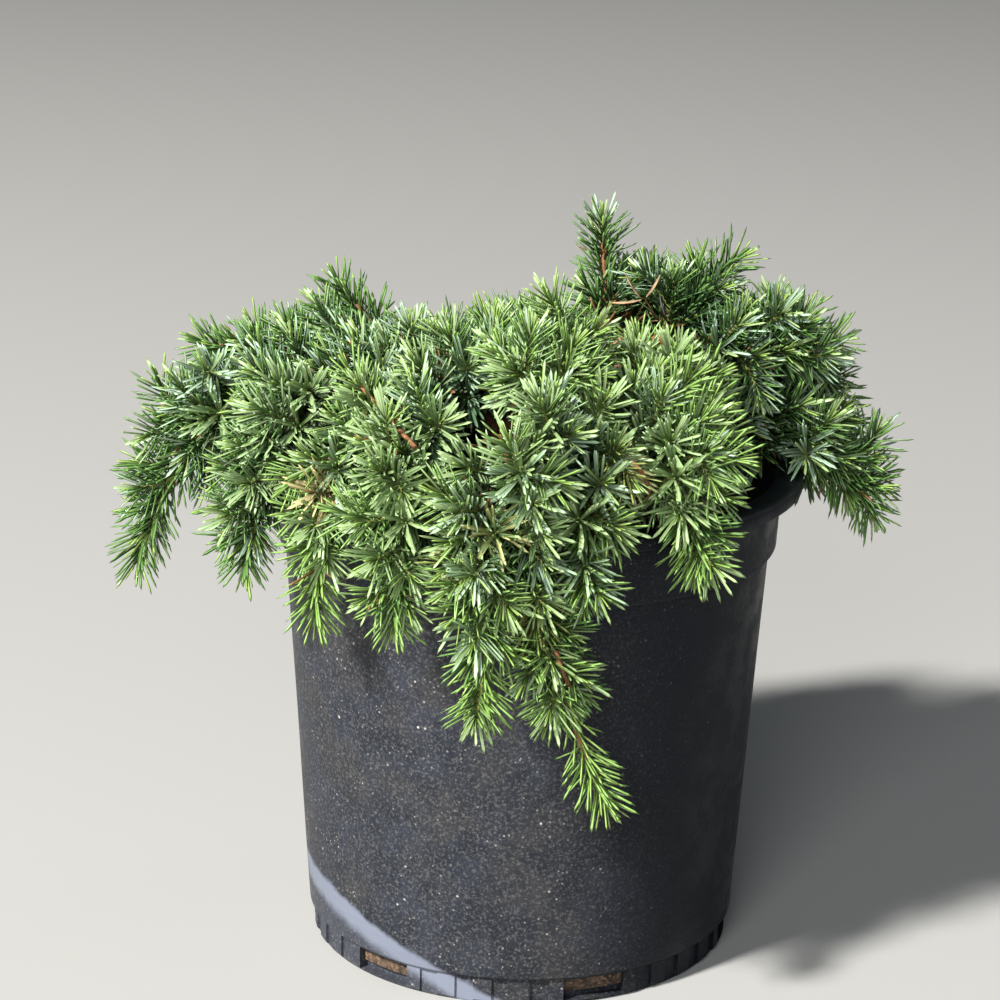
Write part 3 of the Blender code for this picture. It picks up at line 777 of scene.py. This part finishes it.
# %% Bark mesh
TRUNK_RINGS = 44
TRUNK_SIDES = 28
BOUGH_RINGS = 26
BOUGH_SIDES = 12
RIDGE_GRAIN = Vector((0.9, 0.9, 0.22))
FLAKE_GRAIN = 0.55
RELIEF_SHARE = 0.16
RIDGE_WEIGHT = 0.7
FLAKE_WEIGHT = 0.3


def extruded(builder, cap, first):
    """Extrudes a cap once, and gives the new ring's corners and the new cap."""
    made = bmesh.ops.extrude_face_region(builder, geom=cap, use_keep_orig=first)["geom"]
    if not first:
        bmesh.ops.delete(builder, geom=cap, context="FACES_ONLY")
    corners = [item for item in made if isinstance(item, bmesh.types.BMVert)]
    return corners, [item for item in made if isinstance(item, bmesh.types.BMFace)]


def sweep(point, way, radius, shares, sides):
    """A closed tube, extruded from ring to ring along the shares of a path."""
    builder = bmesh.new()
    aim = Matrix.Translation(point(shares[0])) @ UP.rotation_difference(way(shares[0])).to_matrix().to_4x4()
    bmesh.ops.create_circle(builder, cap_ends=True, segments=sides, radius=radius(shares[0]), matrix=aim)
    cap = builder.faces[:]
    for before, after in zip(shares, shares[1:]):
        corners, cap = extruded(builder, cap, before == shares[0])
        turn = way(before).rotation_difference(way(after)).to_matrix().to_4x4()
        scale = Matrix.Scale(radius(after) / radius(before), 4)
        move = Matrix.Translation(point(after)) @ turn @ scale @ Matrix.Translation(-point(before))
        bmesh.ops.transform(builder, matrix=move, verts=corners)
    return builder


def barked(limb, low, high, rings, sides):
    """A limb's tube with bark relief, deeper where the wood is thicker."""
    builder = sweep(limb.point, limb.way, limb.radius, steps(low, high, rings), sides)
    builder.normal_update()
    axis = limb.samples(low, high)
    for corner in builder.verts:
        place = corner.co
        apart = np.linalg.norm(axis[:, :3] - np.array(place), axis=1)
        thick = axis[apart.argmin(), 3]
        ridges = noise.noise(Vector(part * grain for part, grain in zip(place, RIDGE_GRAIN)))
        flakes = noise.noise(place / FLAKE_GRAIN / thick)
        relief = ridges * RIDGE_WEIGHT + flakes * FLAKE_WEIGHT
        corner.co = place + corner.normal * relief * RELIEF_SHARE * thick
    return mesh_of(builder)


wood_meshes = [barked(trunk, 0, 1, TRUNK_RINGS, TRUNK_SIDES)]
wood_meshes += [barked(limb, 0, limb.bare, BOUGH_RINGS, BOUGH_SIDES) for limb in limbs.values()]
wood_mesh = joined(wood_meshes)
smooth(wood_mesh)
print("bark covers", len(wood_meshes), "limbs")


# %% Bark finish
def bark(name, dark, light, peel):
    graph = Graph(name)
    plates = graph.ramp(graph.noise(1.6, detail=5.0, stretch=(1, 1, 0.35)), 0.35, 0.65)
    cracks = graph.ramp(graph.noise(0.7, detail=4.0, stretch=(1, 1, 0.4)), 0.55, 0.7)
    color = graph.blend(plates, dark, light)
    color = graph.blend(graph.maths("MULTIPLY", cracks, 0.6), color, peel)
    dullness = graph.ramp(plates, 0, 1, 0.9, 0.7)
    fissures = graph.bump(graph.noise(0.8, detail=5.0), 0.3)
    return graph.finish(Base_Color=color, Roughness=dullness, Normal=fissures)


OLD_BARK = [(0.10, 0.045, 0.022, 1), (0.30, 0.15, 0.07, 1), (0.42, 0.27, 0.16, 1)]
wood_nodes = ["trunk"] + [name + "_bough" for name in limbs]
piece_from(wood_mesh, "trunk_and_boughs", "bark", wood_nodes, bark("old_bark", *OLD_BARK))

# %% [markdown]
# Each mass of foliage keeps to its own space, which is everything nearer to its own stem than to any
# other. A shoot that would leave that space, or touch the wood or the pot, isn't grown. That one rule
# keeps the gaps between the masses where the photograph shows dark or sky.

# %% The space of each mass
SPACE_GAP = 0.6
SUNK_SHARE = 0.3


def distances(points, cloud):
    """How far each point is from each point of a cloud, as a table."""
    apart = points[:, None, :3] - cloud[None, :, :3]
    return np.sqrt((apart ** 2).sum(axis=2))


def nearest(points, cloud):
    return distances(points, cloud).min(axis=1)


def clear_of_pot(points, margin):
    """True for each point that is outside the pot's wall and lip and above the mix."""
    reach = np.hypot(points[:, 0], points[:, 1])
    height = points[:, 2]
    above = height > POT_HEIGHT + margin
    outside = reach > LIP_RADIUS + margin
    under_lip = (height < POT_HEIGHT - LIP_HEIGHT - margin) & (reach > BAND_TOP_RADIUS + margin)
    within = (reach < GROOVE_RADIUS - WALL - margin) & (height > SOIL_TOP + margin)
    return above | outside | under_lip | within


old_wood = np.vstack([trunk.samples(0, 1)] + [limb.samples(0, limb.bare) for limb in limbs.values()])


def clear_of_wood(points, margin):
    """True for each point that touches neither trunk nor boughs."""
    return (distances(points, old_wood) - old_wood[:, 3]).min(axis=1) > margin


class Space:
    """The room that one mass has for its shoots."""

    def __init__(self, limb):
        self.own = limb.samples(limb.bare, 1)
        self.end = np.array(limb.point(1))
        self.end_way = np.array(limb.way(1))
        others = [other for other in limbs.values() if other is not limb]
        self.others = np.vstack([other.samples(other.bare, 1) for other in others])

    def outgrown_by(self, point):
        """True for a point past the stem's end, or too high above the end of a stem that rises."""
        past = (point[:3] - self.end) @ self.end_way
        slope = self.end_way[2]
        above = point[2] - self.end[2] - LIFT_ROOM * (1 - slope) if slope > 0 else 0
        return max(past, above) > OUTGROW

    def holds(self, points):
        thick = points[:, 3]
        lead = nearest(points, self.others) - nearest(points, self.own)
        if (lead < 2 * thick + SPACE_GAP).any() or self.outgrown_by(points[-1]):
            return False
        if not clear_of_pot(points, thick + SPACE_GAP).all():
            return False
        return bool(clear_of_wood(points, thick.max() + SPACE_GAP).all())


spaces = {name: Space(limb) for name, limb in limbs.items()}
print("points of old wood to stay clear of:", len(old_wood))

# %% [markdown]
# Shoots stand on a stem like bottle brushes. Candidates spiral round it by the golden angle, lean
# forward and lift out of the crown. Of those that fit, the loneliest is kept first, again and again,
# so shoots spread evenly. The frame's solids stop there. Here every kept shoot then grows side twigs
# of its own by the same rule, which fills the masses as the real plant does.

# %% Shoots: what one is
CROWN_CENTRE = Vector((0, 0, 130))
SHOOT_TRIES = 160
SHOOT_LENGTH = 23.0
SHOOT_LENGTH_RANGE = (0.85, 1.15)
SHOOT_SHORTENING = 0.62
SHOOT_SEATS = (0.03, 0.86)
SHOOT_SPREADS = (54.0, 36.0)
SHOOT_LIFT = 0.45
GOLDEN_ANGLE = 137.5
SHOOT_BEND = 0.07
SHOOT_RADIUS = 0.85
SHOOT_TIP_RADIUS = 0.45
END_LONGER_BY = 5.0
OUTGROW = 3.0
LIFT_ROOM = 12.0


class Shoot(Path):
    """A short twig from its seat, bent a little, with needles all round it."""

    look = 0.02
    sparseness = 1.0

    def __init__(self, mass, seat, tip, along):
        self.mass = mass
        self.seat = seat
        self.tip = tip
        self.length = (tip - seat).length
        self.axis = (tip - seat).normalized()
        side = along - self.axis * along.dot(self.axis)
        self.bow = side.normalized() if side.length > 0.01 else self.axis.orthogonal().normalized()

    def point(self, share):
        swell = 4 * share * (1 - share) * SHOOT_BEND * self.length
        return self.seat.lerp(self.tip, share) + self.bow * swell

    def radius(self, share):
        return SHOOT_RADIUS + (SHOOT_TIP_RADIUS - SHOOT_RADIUS) * share

    def points(self):
        """Test points with a radius, from clear of its stem to its tip."""
        count = max(3, round(self.length / 2))
        shares = steps(SUNK_SHARE, 1, count)
        return np.array([(*self.point(share), SHOOT_RADIUS) for share in shares])


def leaned(way, turn, opening):
    """A direction that opens from a way by one angle, on the side given by a turn about it."""
    around = Matrix.Rotation(turn, 3, way) @ way.orthogonal().normalized()
    return way * math.cos(opening) + around * math.sin(opening)


def side_shoots(name, limb, rng):
    """Candidates on a stem: they spiral round it and get shorter towards its end."""
    for count in range(SHOOT_TRIES):
        along = rng.uniform(*SHOOT_SEATS)
        share = limb.bare + (1 - limb.bare) * along
        seat = limb.point(share)
        way = limb.way(share)
        spread = math.radians(SHOOT_SPREADS[0] + (SHOOT_SPREADS[1] - SHOOT_SPREADS[0]) * along)
        outward = (seat - CROWN_CENTRE).normalized()
        lean = leaned(way, math.radians(GOLDEN_ANGLE * count), spread) + outward * SHOOT_LIFT
        length = SHOOT_LENGTH * limb.brush * (1 - SHOOT_SHORTENING * along) * rng.uniform(*SHOOT_LENGTH_RANGE)
        yield Shoot(name, seat, seat + lean.normalized() * length, way)


def end_shoot(name, limb):
    """The shoot that carries the stem on to its furthest point."""
    back = SHOOT_LENGTH * (1 - SHOOT_SHORTENING) / limb.length()
    last = limb.point(1)
    return Shoot(name, limb.point(1 - back), last + limb.way(1) * END_LONGER_BY, limb.way(1 - back))


print("candidates for each mass:", SHOOT_TRIES)

# %% Shoots: choosing them
STEM_SHOOTS = 20
STEM_SPACING = 8.5
TWIG_TRIES = 8
TWIG_SEATS = (0.25, 0.7)
TWIG_SHARE = (0.55, 0.8)
BROAD_TWIG_SHARE = (0.75, 0.95)
BROAD_MASSES = ("left_outer",)
TURN_WANDER = 20.0
TWIG_SPREAD = 48.0
END_TWIG_SPREAD = 38.0
SLENDER_MASSES = ("hang_right", "top_peak")
TWIG_SHOOTS = 15
TWIG_SPACING = 8.0


def twig_candidates(shoot, opening, rng):
    """Side twigs on a shoot, by the same spiral, shorter than the shoot."""
    for count in range(TWIG_TRIES):
        share = rng.uniform(*TWIG_SEATS)
        seat = shoot.point(share)
        way = shoot.way(share)
        turn = math.radians(GOLDEN_ANGLE * count + rng.uniform(-TURN_WANDER, TURN_WANDER))
        lean = leaned(way, turn, math.radians(opening))
        sizes = BROAD_TWIG_SHARE if shoot.mass in BROAD_MASSES else TWIG_SHARE
        length = shoot.length * rng.uniform(*sizes)
        yield Shoot(shoot.mass, seat, seat + lean * length, way)


def keep_loneliest(candidates, limit, spacing, tips):
    """Keeps the candidate whose tip is furthest from all tips so far, again and again."""
    kept = []
    if not candidates:
        return kept
    ends = np.array([candidate.tip for candidate in candidates])
    lonely = nearest(ends, np.array(tips)) if tips else np.full(len(ends), 1e9)
    while len(kept) < limit and lonely.max() > spacing:
        pick = int(lonely.argmax())
        kept.append(candidates[pick])
        tips.append(candidates[pick].tip)
        lonely = np.minimum(lonely, np.linalg.norm(ends - ends[pick], axis=1))
    return kept


def plan_shoots():
    """Every shoot of the crown, mass by mass: first on the stems, then on the shoots."""
    tips = []
    grown = {}
    for name, limb in limbs.items():
        rng = random.Random(f"{SEED} {name}")
        last = end_shoot(name, limb)
        tips.append(last.tip)
        fitting = [shoot for shoot in side_shoots(name, limb, rng) if spaces[name].holds(shoot.points())]
        grown[name] = [last] + keep_loneliest(fitting, STEM_SHOOTS, STEM_SPACING, tips)
    for name in limbs:
        rng = random.Random(f"{SEED} {name} twigs")
        finer = [twig for shoot in grown[name][1:] for twig in twig_candidates(shoot, TWIG_SPREAD, rng)]
        if name not in SLENDER_MASSES:
            finer += list(twig_candidates(grown[name][0], END_TWIG_SPREAD, rng))
        fitting = [twig for twig in finer if spaces[name].holds(twig.points())]
        grown[name] += keep_loneliest(fitting, TWIG_SHOOTS, TWIG_SPACING, tips)
    return grown


crown = plan_shoots()
shoots = [shoot for grown in crown.values() for shoot in grown]
print("shoots:", len(shoots), {name: len(grown) for name, grown in crown.items()})

# %% [markdown]
# A few older twigs have lost their needles. They come out of the crown, lie on it for a stretch and
# dip back in, and the needles round them keep clear, so their orange bark shows as it does in the
# photograph.

# %% Older twigs
OLD_TWIG_ENDS = [
    (Vector((-34, -84, 177)), Vector((-58, -29, 189))),
    (Vector((8, -104, 122)), Vector((12, -101, 111))),
    (Vector((29, -86, 173)), Vector((34, -82, 162))),
]
OLD_TWIG_SUNK = 4.5
OLD_TWIG_LIFT = 3.5
OLD_TWIG_STEEPEST = 1.2
OLD_TWIG_RADII = (0.7, 0.5)
OLD_TWIG_ROOM = 1.1


def old_twig(start, end):
    """A bare twig that arches out of the crown between two points on its surface."""
    along = (end - start).normalized()
    outward = ((start + end) / 2 - CROWN_CENTRE).normalized()
    lift = outward * min(OLD_TWIG_STEEPEST, OLD_TWIG_LIFT * OLD_TWIG_SUNK / (end - start).length)
    first, last = (place - outward * OLD_TWIG_SUNK for place in (start, end))
    out_way, in_way = (along + lift).normalized(), (along - lift).normalized()
    return Limb("old_twig", first, out_way, last, in_way, BOW, 1, *OLD_TWIG_RADII)


old_twigs = [old_twig(*ends) for ends in OLD_TWIG_ENDS]
old_twig_points = np.vstack([twig.samples(0, 1) for twig in old_twigs])
print("older twigs:", len(old_twigs))

# %% [markdown]
# The stems are young wood with orange brown bark, and the shoots on them are still green. Both are
# drawn with the same sweep as the boughs, with fewer sides, and each kind is joined into one piece.

# %% Stems and twigs
STEM_RINGS = 18
STEM_SIDES = 8
TWIG_RINGS = 3
TWIG_SIDES = 5
STEM_OVERLAP = 0.01

stem_meshes = [barked(limb, limb.bare - STEM_OVERLAP, 1, STEM_RINGS, STEM_SIDES) for limb in limbs.values()]
stem_meshes += [barked(twig, 0, 1, STEM_RINGS, STEM_SIDES) for twig in old_twigs]
twig_meshes = [mesh_of(sweep(shoot.point, shoot.way, shoot.radius, steps(0, 1, TWIG_RINGS), TWIG_SIDES))
               for shoot in shoots]
foliage_nodes = [name + "_foliage" for name in limbs]


def young_wood(meshes, name, *colors):
    mesh = joined(meshes)
    smooth(mesh)
    piece_from(mesh, name, "bark", foliage_nodes, bark(name + "_bark", *colors))


young_wood(stem_meshes, "stems", (0.12, 0.044, 0.018, 1), (0.25, 0.098, 0.040, 1), (0.34, 0.20, 0.095, 1))
young_wood(twig_meshes, "green_twigs", (0.09, 0.12, 0.03, 1), (0.20, 0.22, 0.05, 1), (0.30, 0.22, 0.09, 1))
print("twigs:", len(shoots), "on", len(limbs), "stems")

# %% [markdown]
# One needle is a stiff little blade with a keel below and a groove above, drawn to a sharp point. A
# five-sided ring is extruded through a few stations, each a share of the length and a width, and
# closed to a point. The floor of the groove carries the pale band of this species, so those faces are
# told apart here and painted later.

# %% One needle
NEEDLE_SIDES = 5
NEEDLE_EDGE = 0.16
NEEDLE_GROOVE = -0.02
NEEDLE_STATIONS = [(0.0, 0.8), (0.86, 1.0), (1.0, 1.0)]
CURLS = (-0.03, 0.03, 0.08)


def needle_shape(curl):
    """A needle one unit long, wide and thick, along +Z, with its groove facing +Y."""
    builder = bmesh.new()
    turn = Matrix.Rotation(math.pi, 4, "Z")
    bmesh.ops.create_circle(builder, cap_ends=True, segments=NEEDLE_SIDES, radius=0.5, matrix=turn)
    # The two top corners sink to the groove's floor, the two at the sides rise to its edges, and the
    # last one stays below as the keel.
    for corner in builder.verts:
        if corner.co.y > 0.2:
            corner.co.y = NEEDLE_GROOVE
        elif corner.co.y > -0.3:
            corner.co.y = NEEDLE_EDGE
    foot_width = NEEDLE_STATIONS[0][1]
    bmesh.ops.scale(builder, vec=(foot_width, foot_width, 1), verts=builder.verts)
    cap = builder.faces[:]
    for (before, before_width), (share, width) in zip(NEEDLE_STATIONS, NEEDLE_STATIONS[1:]):
        corners, cap = extruded(builder, cap, before == 0)
        old_middle = Vector((0, curl * before ** 2, before))
        new_middle = Vector((0, curl * share ** 2, share))
        widen = Matrix.Diagonal((width / before_width, width / before_width, 1, 1))
        move = Matrix.Translation(new_middle) @ widen @ Matrix.Translation(-old_middle)
        bmesh.ops.transform(builder, matrix=move, verts=corners)
    bmesh.ops.pointmerge(builder, verts=corners, merge_co=Vector((0, curl, 1)))
    bmesh.ops.recalc_face_normals(builder, faces=builder.faces)
    return builder


def shape_arrays(builder):
    """A shape's corners, its faces, and which faces are the floor of the groove."""
    builder.verts.ensure_lookup_table()
    builder.normal_update()
    corners = np.array([corner.co[:] for corner in builder.verts])
    faces = [[corner.index for corner in face.verts] for face in builder.faces]
    groove = [abs(face.calc_center_median().x) < 0.02 and face.normal.y > 0.3 for face in builder.faces]
    builder.free()
    return corners, faces, np.array(groove)


needle_shapes = [shape_arrays(needle_shape(curl)) for curl in CURLS]
print("one needle:", len(needle_shapes[0][0]), "corners,", len(needle_shapes[0][1]), "faces,",
      int(needle_shapes[0][2].sum()), "in the groove")

# %% [markdown]
# Needles stand in whorls of three, each whorl turned by half a step from the one before. They open
# wide at a shoot's foot and close towards its tip, where the youngest are short. The grooved side
# looks up the shoot. Length, opening and turn all wander a little from needle to needle.

# %% Needles: where they stand
NEEDLE_LENGTH = 12.6
NEEDLE_WIDTH = 0.98
NEEDLE_THICKNESS = 0.7
WHORL_PITCH = 0.82
STEM_SPARSENESS = 2.0
FIRST_WHORL = 2.5
NEEDLES_PER_WHORL = 3
OPENINGS = (62.0, 34.0)
OPENING_CURVE = 1.5
SHORTER_AT_TIP = 0.22
SHORTER_AT_FOOT = 0.2
TIP_OPENINGS = (24.0, 10.0)
TIP_SIZES = (0.66, 0.5)
LENGTH_WANDER = 0.1
ANGLE_WANDER = 6.0
NEEDLE_MARGIN = 0.25
NEEDLE_TESTS = (0.3, 0.5, 0.8, 1.0)


class StemBrush:
    """The leafy part of a stem, which carries needles of its own as one long shoot."""

    sparseness = STEM_SPARSENESS

    def __init__(self, mass, limb):
        self.mass = mass
        self.limb = limb
        self.length = limb.length() * (1 - limb.bare)
        self.tip = limb.point(1)

    def point(self, share):
        return self.limb.point(self.limb.bare + (1 - self.limb.bare) * share)

    def way(self, share):
        return self.limb.way(self.limb.bare + (1 - self.limb.bare) * share)


def needle_ways(shoot, rng):
    """Root, direction, groove direction, length and share along the shoot of each needle."""
    pitch = WHORL_PITCH * shoot.sparseness
    whorls = max(3, int((shoot.length - FIRST_WHORL) / pitch))
    for whorl in range(whorls + 2):
        share = min(1.0, (FIRST_WHORL + pitch * whorl) / shoot.length)
        way = shoot.way(share)
        if whorl < whorls:
            opening = OPENINGS[0] + (OPENINGS[1] - OPENINGS[0]) * share ** OPENING_CURVE
            size = 1 - SHORTER_AT_TIP * share ** 3 - SHORTER_AT_FOOT * (1 - share) ** 4
        else:
            opening = TIP_OPENINGS[whorl - whorls]
            size = TIP_SIZES[whorl - whorls]
        for count in range(NEEDLES_PER_WHORL):
            turn = math.radians(360 / NEEDLES_PER_WHORL * (count + whorl / 2) + rng.gauss(0, ANGLE_WANDER))
            aim = leaned(way, turn, math.radians(opening + rng.gauss(0, ANGLE_WANDER)))
            groove = (way - aim * way.dot(aim)).normalized()
            length = NEEDLE_LENGTH * size * (1 + rng.gauss(0, LENGTH_WANDER))
            yield (*shoot.point(share), *aim, *groove, length, share)


def needles_of(shoot, rng):
    """The needles of one shoot that are clear of pot and wood, as rows of numbers."""
    rows = np.array(list(needle_ways(shoot, rng)))
    fits = np.ones(len(rows), bool)
    for share in NEEDLE_TESTS:
        points = rows[:, :3] + rows[:, 3:6] * rows[:, 9:10] * share
        fits &= nearest(points, old_twig_points) > OLD_TWIG_ROOM
        fits &= clear_of_pot(points, NEEDLE_MARGIN)
        fits &= clear_of_wood(points, NEEDLE_MARGIN)
    return rows[fits]


needle_rng = random.Random(f"{SEED} needles")
brushes = shoots + [StemBrush(name, limb) for name, limb in limbs.items()]
needle_rows = [needles_of(brush, needle_rng) for brush in brushes]
print("needles:", sum(len(rows) for rows in needle_rows))

# %% [markdown]
# Colour is dealt out shoot by shoot and stays plain on each needle. Shoots that others stand over
# get painted shade: the most covered are dark with a dim groove, the half covered a step darker than
# those in the open. The masses in front get brighter greens as painted sunlight, and the last whorls
# of each are yellow green. The groove is always paler than the rest, and silvery on many shoots. On
# some the oldest needles have died to rust. A few sprays in front are golden and one has dried to
# straw, as in the photograph.

# %% Needle colours
# The shade colour and its dim groove colour are painted shade, and the lit green of the front masses is
# painted sunlight.
COLORS = {
    "shade": (0.030, 0.076, 0.018),
    "green": (0.056, 0.130, 0.032),
    "bright": (0.100, 0.205, 0.048),
    "painted_sunlit": (0.196, 0.335, 0.080),
    "young": (0.225, 0.350, 0.075),
    "silver": (0.335, 0.435, 0.350),
    "pale": (0.285, 0.370, 0.205),
    "shade_groove": (0.085, 0.145, 0.085),
    "rust": (0.230, 0.105, 0.040),
    "golden": (0.210, 0.235, 0.065),
    "flaxen": (0.380, 0.380, 0.180),
    "straw": (0.420, 0.350, 0.140),
    "dry": (0.500, 0.430, 0.230),
}
SLOTS = {name: count for count, name in enumerate(COLORS)}
OVER_RANGE = 24.0
OVER_LEAD = 4.0
OVER_WANDER = 1.5
TONE_SHARES = (0.55, 0.86)
SILVER_SHARE = 0.8
SILVERY_MASSES = ("left_outer", "left_upper", "left_back", "left_back_top", "left_middle", "centre_left",
                  "centre", "centre_top", "top_peak", "right_top", "top_back", "right_low", "right_outer",
                  "right_back")
# Masses in front whose greens are painted brighter as painted sunlight.
PAINTED_SUNLIT_MASSES = ("front_centre", "front_middle", "hang_right", "hang_left", "front_right", "right_bright",
                 "front_left", "front_left_low")
FRONT_SILVER_SHARE = 0.35
YOUNG_SHARE = 0.88
WORN_SHARE = 0.2
WORN_CHANCE = 0.35
STRAW_PLACES = [Vector((-57, -70, 157))]
GOLDEN_PLACES = [Vector((-9, -105, 158)), Vector((30, -83, 169)), Vector((8, -103, 132)),
                 Vector((-22, -92, 150))]
SPRAY_MIDDLE = 0.6
ROUGHNESS = 0.42


def needle_finish(name, color):
    graph = Graph("needle_" + name)
    return graph.finish(Base_Color=(*color, 1), Roughness=ROUGHNESS)


def covered(shoot):
    """How many other tips stand over a shoot, further out of the crown."""
    outward = (shoot.tip - CROWN_CENTRE).normalized()
    offsets = tip_places - np.array(shoot.tip)
    near = np.linalg.norm(offsets, axis=1) < OVER_RANGE
    return int((near & (offsets @ np.array(outward) > OVER_LEAD)).sum())


def tone_of(brush, over, rng):
    """The colours of a brush's needles and of their grooves."""
    if brush in straw_shoots:
        return "straw", "dry"
    if brush in golden_shoots:
        return "golden", "flaxen"
    silvery = rng.random() < (SILVER_SHARE if brush.mass in SILVERY_MASSES else FRONT_SILVER_SHARE)
    over += rng.gauss(0, OVER_WANDER)
    # Painted shade: shoots with more tips over them get darker colours.
    some, most = cover_limits[brush.mass]
    if over > most:
        return "shade", "shade_groove"
    # Painted sunlight: the masses in front get a brighter pair of greens.
    lit, half_lit = ("painted_sunlit", "bright") if brush.mass in PAINTED_SUNLIT_MASSES else ("bright", "green")
    return half_lit if over > some else lit, "silver" if silvery else "pale"


tip_places = np.array([shoot.tip for shoot in shoots])


def shoots_near(places):
    """The shoot whose middle is closest to each place."""
    return [min(shoots, key=lambda shoot: (shoot.point(SPRAY_MIDDLE) - place).length) for place in places]


straw_shoots = shoots_near(STRAW_PLACES)
golden_shoots = shoots_near(GOLDEN_PLACES)
# The count of tips standing over each shoot drives its painted shade.
cover = np.array([covered(brush) for brush in brushes])
cover_limits = {}
for name in limbs:
    own_cover = [over for brush, over in zip(brushes, cover) if brush.mass == name]
    cover_limits[name] = np.quantile(own_cover, TONE_SHARES)
needle_finishes = [needle_finish(name, color) for name, color in COLORS.items()]
tone_rng = random.Random(f"{SEED} tones")
tones = [tone_of(brush, over, tone_rng) for brush, over in zip(brushes, cover)]
worn = [tone_rng.random() < WORN_CHANCE for brush in brushes]
print("tones:", {tone: sum(1 for own, groove in tones if own == tone) for tone in COLORS})
print("worn at the foot:", sum(worn))

# %% [markdown]
# Some thirty thousand needles are far too many for mesh operators one by one. The needle's corners are
# placed by array sums instead, all the needles of a region in one go, and each region is one piece.

# %% Joining the needles
REGIONS = {
    "needles_left": ["left_outer", "left_front", "left_back"],
    "needles_left_top": ["left_upper", "left_middle", "left_back_top", "centre_left"],
    "needles_front": ["front_left_low", "front_left", "front_centre_left"],
    "needles_middle": ["front_middle", "front_centre", "right_bright"],
    "needles_hanging": ["hang_right", "hang_left", "centre"],
    "needles_right": ["front_right", "right_outer", "right_low", "right_back"],
    "needles_top": ["top_peak", "right_top", "top_back", "centre_top"],
    "needles_back": ["back", "back_left", "back_right", "back_centre"],
}


def placed(rows, shape):
    """The corners of one needle shape at every row, as an array."""
    root, aim, groove, length = rows[:, 0:3], rows[:, 3:6], rows[:, 6:9], rows[:, 9]
    across = np.cross(groove, aim)
    size = (length / NEEDLE_LENGTH)[:, None, None] ** 0.5
    return (root[:, None] + across[:, None] * shape[None, :, 0:1] * NEEDLE_WIDTH * size
            + groove[:, None] * shape[None, :, 1:2] * NEEDLE_THICKNESS * size
            + aim[:, None] * shape[None, :, 2:3] * length[:, None, None])


def slots_of(rows, tone, rusty, groove_faces):
    """The material slot of every face of every needle of one shoot, whose oldest may be dead."""
    own, groove = tone
    young = (rows[:, 10] > YOUNG_SHARE) & (own not in ("straw", "shade"))
    leaf = np.where(young, SLOTS["young"], SLOTS[own])
    band = np.where(young, SLOTS["pale"], SLOTS[groove])
    dead = (rows[:, 10] < WORN_SHARE) & rusty
    leaf = np.where(dead, SLOTS["rust"], leaf)
    band = np.where(dead, SLOTS["rust"], band)
    return np.where(groove_faces[None, :], band[:, None], leaf[:, None])


def joined_needles(chosen):
    """One mesh of all the needles of some shoots."""
    shape, faces, groove_faces = needle_shapes[0]
    places, slots = [], []
    for index in chosen:
        for kind, (curled, *rest) in enumerate(needle_shapes):
            rows = needle_rows[index][kind::len(needle_shapes)]
            places.append(placed(rows, curled).reshape(-1, 3))
            slots.append(slots_of(rows, tones[index], worn[index], groove_faces).reshape(-1))
    places = np.vstack(places)
    firsts = range(0, len(places), len(shape))
    owned = [[corner + first for corner in face] for first in firsts for face in faces]
    mesh = bpy.data.meshes.new("needles")
    mesh.from_pydata(places, [], owned, shade_flat=False)
    for finish in needle_finishes:
        mesh.materials.append(finish)
    mesh.polygons.foreach_set("material_index", np.concatenate(slots))
    mesh.validate()
    return mesh


for region, masses in REGIONS.items():
    chosen = [index for index, brush in enumerate(brushes) if brush.mass in masses]
    piece_from(joined_needles(chosen), region, "needles", [mass + "_foliage" for mass in masses])

# %% [markdown]
# Three dead leaves and a dark scrap have blown into the top of the plant and rest against a shoot
# there. A dead leaf is a flattened ball drawn out lengthways and curled along its length.

# %% Dead leaves
LEAF_THICKNESS = 0.7
LEAF_CURL = 0.18
LEAF_DARKENING = 0.45
LEAF_DETAIL = 3
DEAD_LEAVES = [
    (Vector((29.5, -1, 203)), Vector((0.55, 0, -0.85)), 9.5, 3.4, "leaf_tan"),
    (Vector((36, -1, 203)), Vector((0.5, 0, 0.85)), 8.0, 3.2, "leaf_tan"),
    (Vector((28, -3, 198.5)), Vector((1, 0, 0.12)), 9.0, 2.0, "leaf_tan"),
    (Vector((38.5, -3, 197.5)), Vector((0.3, 0, -0.9)), 7.5, 4.4, "leaf_grey"),
]
LEAF_COLORS = {"leaf_tan": (0.42, 0.27, 0.15, 1), "leaf_grey": (0.115, 0.095, 0.125, 1)}


def dead_leaf(middle, way, length, width, slot):
    """One curled leaf, with its material's slot on every face."""
    builder = bmesh.new()
    bmesh.ops.create_icosphere(builder, subdivisions=LEAF_DETAIL, radius=0.5)
    for corner in builder.verts:
        corner.co.y += LEAF_CURL * length / LEAF_THICKNESS * (corner.co.z ** 2)
    size = Matrix.Diagonal((width, LEAF_THICKNESS, length, 1))
    turn = way.normalized().to_track_quat("Z", "Y").to_matrix().to_4x4()
    bmesh.ops.transform(builder, matrix=Matrix.Translation(middle) @ turn @ size, verts=builder.verts)
    for face in builder.faces:
        face.material_index = slot
    return mesh_of(builder)


def leaf_finish(kind, color):
    graph = Graph(kind)
    blotches = graph.ramp(graph.noise(2.0, detail=4.0), 0.4, 0.62)
    darker = tuple(part * LEAF_DARKENING for part in color[:3]) + (1,)
    return graph.finish(Base_Color=graph.blend(blotches, color, darker), Roughness=0.8)


leaf_kinds = list(LEAF_COLORS)
leaf_mesh = joined([dead_leaf(*sizes, leaf_kinds.index(kind)) for *sizes, kind in DEAD_LEAVES])
smooth(leaf_mesh)
leaf_finishes = [leaf_finish(kind, color) for kind, color in LEAF_COLORS.items()]
piece_from(leaf_mesh, "dead_leaves", "needles", ["top_back_foliage"], *leaf_finishes)
print("dead leaves:", len(DEAD_LEAVES))
